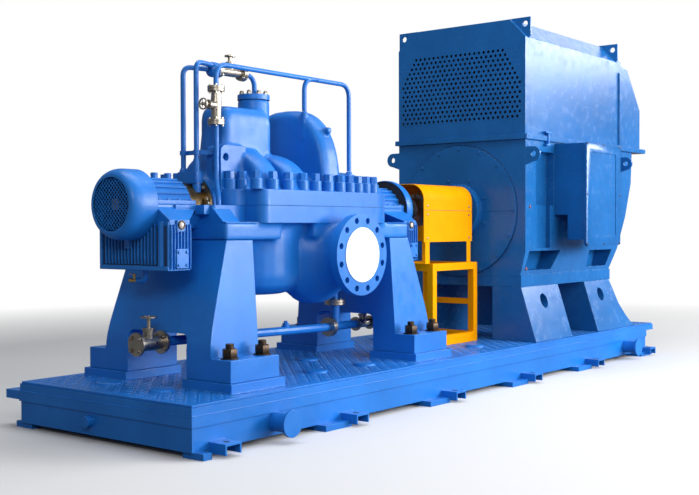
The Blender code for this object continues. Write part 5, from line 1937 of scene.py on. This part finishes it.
@dataclass
class Pipework:
    """Small-bore pipes, valves with bolted flanges and handwheels."""

    valve_nodes: tuple[str, ...] = ("vent_valve", "flush_valve", "drain_valve_nde", "drain_valve_de")
    wheels: tuple[str, ...] = ("vent_valve_handwheel", "flush_valve_handwheel", "drain_valve_nde_handwheel")
    radius: float = 0.014
    near_x: float = -2.054
    near_y: float = -0.175
    top_z: float = 1.962
    header_end: tuple[float, float] = (-0.899, 1.4305)
    header_foot: float = 1.8265
    branch: tuple[float, float, float] = (-1.325, -1.210, 1.7705)
    gland_x: float = -2.115
    gland_y: tuple[float, float] = (0.016, -0.086)
    gland_z: float = 1.3805
    vent_y: float = -0.035
    vent_z: float = 1.955
    drain_y: float = -0.050
    drain_z: float = 0.456
    drop_x: float = -0.885
    drop_z: float = 0.5932
    cock_x: float = -2.405
    cock_y: float = 0.060
    cock_z: float = 0.803
    port_z: tuple[float, float] = (1.316, 1.383)
    port_side: tuple[float, float] = (0.026, 0.024)
    sleeve: tuple[tuple[float, float], ...] = ((1.2698, 0.0232), (1.3165, 0.0232))
    union_tops: tuple[float, float] = (1.404, 1.452)
    bar_z: tuple[float, float] = (1.474, 1.498)
    flush_studs_z: tuple[float, float] = (1.650, 1.826)
    vent_studs_x: tuple[float, float] = (-1.9012, -1.7090)
    drain_studs_x: tuple[float, float] = (-2.509, -2.341)
    drain_studs_z: float = 0.480
    joint_x: float = -0.945
    joint_z: float = 0.609
    plug_x: float = -1.356
    cover_circle: float = 0.074
    cover_z: float = 1.850

    def build(self, shop: Workshop) -> None:
        """Dress the pipework.

        Args:
            shop: the workshop.
        """
        self.pipes(shop)
        for node in self.valve_nodes:
            shop.dress(node, Finish.STAINLESS, 0.0012)
        for node in self.wheels:
            shop.dress(node, Finish.STAINLESS, 0.001)
        shop.dress("vent_tee", Finish.PLATE, 0.002)
        shop.dress("drain_header", Finish.PLATE, 0.0015)
        self.cock(shop)
        self.gland_fittings(shop)
        self.valve_trim(shop)
        self.studs(shop)
        acorns = [Seat((x, y, self.cover_z)) for x, y in on_circle(self.cover_circle, evenly(8, 0.5), TOWER_X)]
        shop.bolt_up("tower_acorn_nuts", "acorn_nut", acorns, Finish.STAINLESS, size=0.0140)
        self.drain_details(shop)

    def pipes(self, shop: Workshop) -> None:
        """Rounder pipes in the place of the solids' eight-sided ones.

        Args:
            shop: the workshop.
        """
        x, y, r, top = self.near_x, self.near_y, self.radius, self.top_z
        (end_x, end_z), (branch_x, branch_end, branch_z) = self.header_end, self.branch
        g, (ya, yb), foot, vent, vz = self.gland_x, self.gland_y, self.gland_z, self.vent_y, self.vent_z
        header = swept([(x, y, self.header_foot), (x, y, top), (end_x, y, top), (end_x, y, end_z)], r, corner=0.080)
        header.join(swept([(branch_x, y, branch_z), (branch_x, y, top), (branch_end, y, top)], r, corner=0.080))
        routes = {
            "flush_header": header,
            "flush_pipe_a": swept([(g, ya, foot), (g, ya, vz), (-1.973, -0.025, vz)], r),
            "flush_pipe_b": swept([(g, yb, foot), (g, yb, 1.975), (-1.971, -0.057, 1.975)], r),
            "flush_pipe_c": swept([(-2.088, -0.225, 1.2005), (-2.088, -0.225, 1.245), (x, y, 1.335), (x, y, 1.6495)],
                                  r, corner=0.035),
            "tower_pipe": swept([(-1.709, vent, vz), (-1.605, vent, vz), (-1.605, vent, 1.8505)], r, corner=0.070),
        }
        for node, shape in routes.items():
            shop.make(node + "_round", shape, Finish.PLATE, smooth=ROUND, stands_for=(node,), slot="blue_paint")

    def cock(self, shop: Workshop) -> None:
        """The oil tap: a blue elbow under the sump and a brass cock on its end.

        Args:
            shop: the workshop.
        """
        x, y, z = self.cock_x, self.cock_y, self.cock_z
        elbow = swept([(x, 0.0, 0.8617), (x, 0.0, z), (x, y, z)], 0.0145, corner=0.034)
        shop.make("oil_drain_elbow", elbow, Finish.PLATE, smooth=ROUND)
        tap = Shape().turned([(0.0, 0.0125), (0.010, 0.0125), (0.0102, 0.0100), (0.046, 0.0100), (0.0462, 0.0120),
                              (0.060, 0.0120), (0.064, 0.0080)], 20).moved(aimed((x, y, z), Facing.FAR))
        stem = Shape().turned([(0.0, 0.0060), (0.024, 0.0060), (0.0242, 0.0085), (0.032, 0.0085)], 16)
        tap.join(stem.moved(aimed((x, y + 0.025, z), Facing.UP)))
        tap.slab(x - 0.006, x + 0.006, y + 0.014, y + 0.062, z + 0.0300, z + 0.0345)
        shop.make("oil_drain_cock_finished", tap, Finish.BRASS, bevel=0.0006, stands_for=("oil_drain_cock",),
                  slot="brass")

    def gland_fittings(self, shop: Workshop) -> None:
        """The block and unions where the two flush pipes meet the gland, and the bar that steadies them.

        Args:
            shop: the workshop.
        """
        x, (ya, yb), (low, high) = self.gland_x, self.gland_y, self.bar_z
        wide, deep = self.port_side
        block = Shape().slab(x - wide, x + wide, yb - deep, ya + deep, *self.port_z)
        shop.make("gland_port_block", block, Finish.PLATE, bevel=0.004)
        sleeves, unions = Shape(), Shape()
        for y in self.gland_y:
            sleeves.join(Shape().turned(list(self.sleeve), 24).moved(Matrix.Translation((x, y, 0.0))))
        shop.make("gland_port_sleeves", sleeves, Finish.PLATE, smooth=ROUND)
        for y, top in zip(self.gland_y, self.union_tops):
            profile = [(1.3832, 0.0215), (1.394, 0.0215), (1.3942, 0.0180), (top - 0.008, 0.0180), (top, 0.0160)]
            unions.join(Shape().turned(profile, 20).moved(Matrix.Translation((x, y, 0.0))))
        for y in self.gland_y:
            clamp = Shape().turned([(low, 0.0150), (low, 0.0195), (high, 0.0195), (high, 0.0150)], 20, close=True)
            unions.join(clamp.moved(Matrix.Translation((x, y, 0.0))))
        shop.make("flush_pipe_unions", unions, Finish.PLATE, smooth=ROUND)
        outline = [(x + 0.016, ya + 0.020), (x + 0.016, yb - 0.022), (-2.037, -0.150), (-2.037, -0.158),
                   (x + 0.010, yb - 0.022), (x + 0.010, ya + 0.020)]
        shop.make("flush_pipe_bar", Shape().prism(outline, low, high), Finish.PLATE, bevel=0.001)

    def valve_trim(self, shop: Workshop) -> None:
        """Mating flanges and bonnet collars on the small valves.

        Args:
            shop: the workshop.
        """
        trim = Shape()
        discs = [(Matrix.Translation((self.near_x, self.near_y, z)), 0.0465) for z in (1.6340, 1.8266)]
        discs += [(aimed((x, self.vent_y, self.vent_z), Facing.RIGHT), 0.0405) for x in (-1.9165, -1.7088)]
        for place, radius in discs:
            trim.join(Shape().turned([(0.0, radius), (0.0150, radius)], 32).moved(place))
        collars = (((-2.104, self.near_y, 1.738), Facing.LEFT, 0.026),
                   ((-1.805, self.vent_y, 2.000), Facing.UP, 0.024),
                   ((-2.425, self.drain_y, 0.548), Facing.UP, 0.036),
                   ((-0.601, self.drain_y, 0.503), Facing.UP, 0.028))
        for at, facing, radius in collars:
            groove = radius * 0.96
            profile = [(0.0, radius), (0.006, radius), (0.0061, groove), (0.0069, groove), (0.0070, radius),
                       (0.013, radius)]
            trim.join(Shape().turned(profile, 24).moved(aimed(at, facing)))
        shop.make("valve_flanges_and_collars", trim, Finish.STAINLESS, bevel=0.0008)

    def studs(self, shop: Workshop) -> None:
        """Studs and nuts through the flanges of the valves.

        Args:
            shop: the workshop.
        """
        quarters = evenly(4, 0.5)
        seats = []
        for x in self.vent_studs_x:
            seats += face_seats(x, 0.030, quarters, Facing.RIGHT, self.vent_y, self.vent_z)
        for z in self.flush_studs_z:
            seats += [Seat((x, y, z)) for x, y in on_circle(0.034, quarters, self.near_x, self.near_y)]
        shop.bolt_up("vent_and_flush_studs", "stud_pair", seats, Finish.STAINLESS, size=0.0112)
        seats = []
        for x in self.drain_studs_x:
            seats += face_seats(x, 0.046, quarters, Facing.RIGHT, self.drain_y, self.drain_studs_z)
        drop = [Seat((x, y, self.joint_z)) for x, y in on_circle(0.038, quarters, self.drop_x, self.drain_y)]
        line = face_seats(self.joint_x, 0.046, quarters, Facing.RIGHT, self.drain_y, self.drain_z)
        seats += [seat for pair in zip(drop, line) for seat in pair]
        shop.bolt_up("drain_studs", "stud_pair", seats, Finish.STAINLESS, size=0.0105)

    def drain_details(self, shop: Workshop) -> None:
        """Bright flange pairs, the elbow between them and a plug on the drain header.

        Args:
            shop: the workshop.
        """
        x, y, z, top = self.drop_x, self.drain_y, self.drain_z, self.drop_z
        pair = Shape().turned([(top, 0.0660), (0.6085, 0.0660), (0.6086, 0.0630), (0.6095, 0.0630),
                               (0.6096, 0.0660), (0.6248, 0.0660)], 32).moved(Matrix.Translation((x, y, 0.0)))
        lower = Shape().turned([(-0.0158, 0.0606), (-0.0006, 0.0606), (-0.0005, 0.0580), (0.0005, 0.0580),
                                (0.0006, 0.0606), (0.0158, 0.0606)], 32)
        pair.join(lower.moved(aimed((self.joint_x, y, z), Facing.RIGHT)))
        shop.make("drain_flange_faces", pair, Finish.STAINLESS, bevel=0.0008)
        elbow = swept([(-0.9292, y, z), (x, y, z), (x, y, top)], 0.0300, segments=24, corner=0.042)
        shop.make("drain_elbow", elbow, Finish.PLATE, smooth=ROUND)
        plug = Shape().turned([(0.480, 0.020), (0.506, 0.020), (0.509, 0.018)], 24).turned(
            [(0.509, 0.012), (0.520, 0.012), (0.522, 0.010)], 6).moved(Matrix.Translation((self.plug_x, y, 0.0)))
        shop.make("drain_plug", plug, Finish.PLATE)


@dataclass(frozen=True)
class Softbox:
    """A square studio lamp."""

    name: str
    at: Point
    target: Point
    size: tuple[float, float]
    power: float
    colour: Colour = (1.0, 1.0, 1.0)

    def build(self) -> None:
        """Hang the lamp."""
        lamp = bpy.data.lights.new(self.name, "AREA")
        lamp.shape = "RECTANGLE"
        lamp.size, lamp.size_y = self.size
        lamp.energy = self.power
        lamp.color = self.colour
        aim = (Vector(self.target) - Vector(self.at)).to_track_quat("-Z", "Y")
        placed(self.name, lamp).matrix_world = Matrix.Translation(self.at) @ aim.to_matrix().to_4x4()


@dataclass
class Studio:
    """Floor, surround, lamps and camera."""

    camera_at: Point = (-6.144, -4.294, 1.080)
    yaw: float = 38.123
    pitch: float = -1.078
    roll: float = -0.135
    lens: float = 55.06
    sensor: float = 36.0
    far_clip: float = 200.0
    floor_radius: float = 30.0
    floor_thick: float = 0.05
    surround: float = 0.22
    surround_colour: tuple[float, ...] = (0.93, 0.96, 1.0, 1.0)
    lamps: tuple[Softbox, ...] = field(default_factory=lambda: (
        Softbox("right_key", (6.4, -6.9, 4.0), (0.2, -0.5, 1.2), (5.0, 3.2), 600.0),
        Softbox("long_sheen", (14.6, -6.9, 5.3), (1.8, -0.5, 1.9), (4.6, 1.9), 420.0),
        Softbox("front_soft", (-1.6, -7.5, 3.0), (-1.2, 0.0, 0.8), (4.5, 3.0), 200.0),
        Softbox("motor_fill", (2.4, -6.8, 1.9), (1.4, -0.5, 1.1), (3.4, 2.0), 380.0),
        Softbox("roof_sheen", (12.0, 1.4, 8.6), (1.5, 0.0, 2.5), (5.0, 5.0), 150.0),
        Softbox("camera_fill", (-7.5, -4.6, 4.2), (-0.5, 0.0, 1.0), (3.0, 2.0), 150.0),
        Softbox("top_soft", (-0.5, -0.5, 6.6), (0.0, 0.0, 0.5), (6.5, 3.5), 300.0, (0.93, 0.96, 1.0)),
    ))

    def build(self) -> None:
        """Set up the studio."""
        self.floor()
        self.sky()
        for lamp in self.lamps:
            lamp.build()
        self.camera()
        bpy.context.scene.view_settings.view_transform = "Standard"

    def floor(self) -> None:
        """A pale floor under the machine."""
        mesh = Shape().prism(on_circle(self.floor_radius, evenly(64)), -self.floor_thick, 0.0).mesh("floor")
        mesh.materials.append(material(Finish.FLOOR))
        floor = placed("floor", mesh)

    def sky(self) -> None:
        """Soft light from all round, with a white surround behind the machine."""
        world = bpy.data.worlds.new("surround")
        world.use_nodes = True
        nodes, links = world.node_tree.nodes, world.node_tree.links
        nodes.clear()
        out = nodes.new("ShaderNodeOutputWorld")
        path = nodes.new("ShaderNodeLightPath")
        mix = nodes.new("ShaderNodeMixShader")
        links.new(path.outputs["Is Camera Ray"], mix.inputs[0])
        lit, seen = (self.surround, self.surround_colour), (1.0, (1.0, 1.0, 1.0, 1.0))
        for socket, (strength, colour) in zip(mix.inputs[1:], (lit, seen)):
            glow = nodes.new("ShaderNodeBackground")
            glow.inputs["Strength"].default_value = strength
            glow.inputs["Color"].default_value = colour
            links.new(glow.outputs[0], socket)
        links.new(mix.outputs[0], out.inputs["Surface"])
        bpy.context.scene.world = world

    def camera(self) -> None:
        """The camera of the photograph."""
        lens = bpy.data.cameras.new("camera")
        lens.lens = self.lens
        lens.sensor_width = self.sensor
        lens.clip_end = self.far_clip
        camera = placed("camera", lens)
        yaw, pitch = math.radians(self.yaw), math.radians(self.pitch)
        look = Vector((math.cos(yaw) * math.cos(pitch), math.sin(yaw) * math.cos(pitch), math.sin(pitch)))
        turn = look.to_track_quat("-Z", "Y").to_matrix().to_4x4()
        camera.matrix_world = (Matrix.Translation(self.camera_at) @ turn
                               @ Matrix.Rotation(math.radians(self.roll), 4, "Z"))
        bpy.context.scene.camera = camera


def main() -> None:
    """Build the looks of the machine, piece by piece."""
    logging.basicConfig(level=logging.INFO, format="%(message)s")
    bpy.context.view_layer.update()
    shop = Workshop()
    shop.stock()
    outer = BearingEnd("nde", -2.475, 1, -2.632, 0.184, 0.138, -2.405, (-2.444, -2.362), (0.874, 0.973))
    inner = BearingEnd("de", -0.295, -1, -0.190, 0.195, 0.145, -0.367, (-0.384, -0.304), (0.883, 0.977),
                       hole=0.062)
    for part in (Skid(), Pedestals(), Casing(), outer, inner, Rotor(), Guard(), Motor(), Pipework()):
        LOG.info("building %s", type(part).__name__)
        part.build(shop)
    for shape in shop.shapes.values():
        bpy.data.objects.remove(shape, do_unlink=True)
    Studio().build()
    LOG.info("%d pieces", shop.count)


if __name__ == "__main__":
    main()
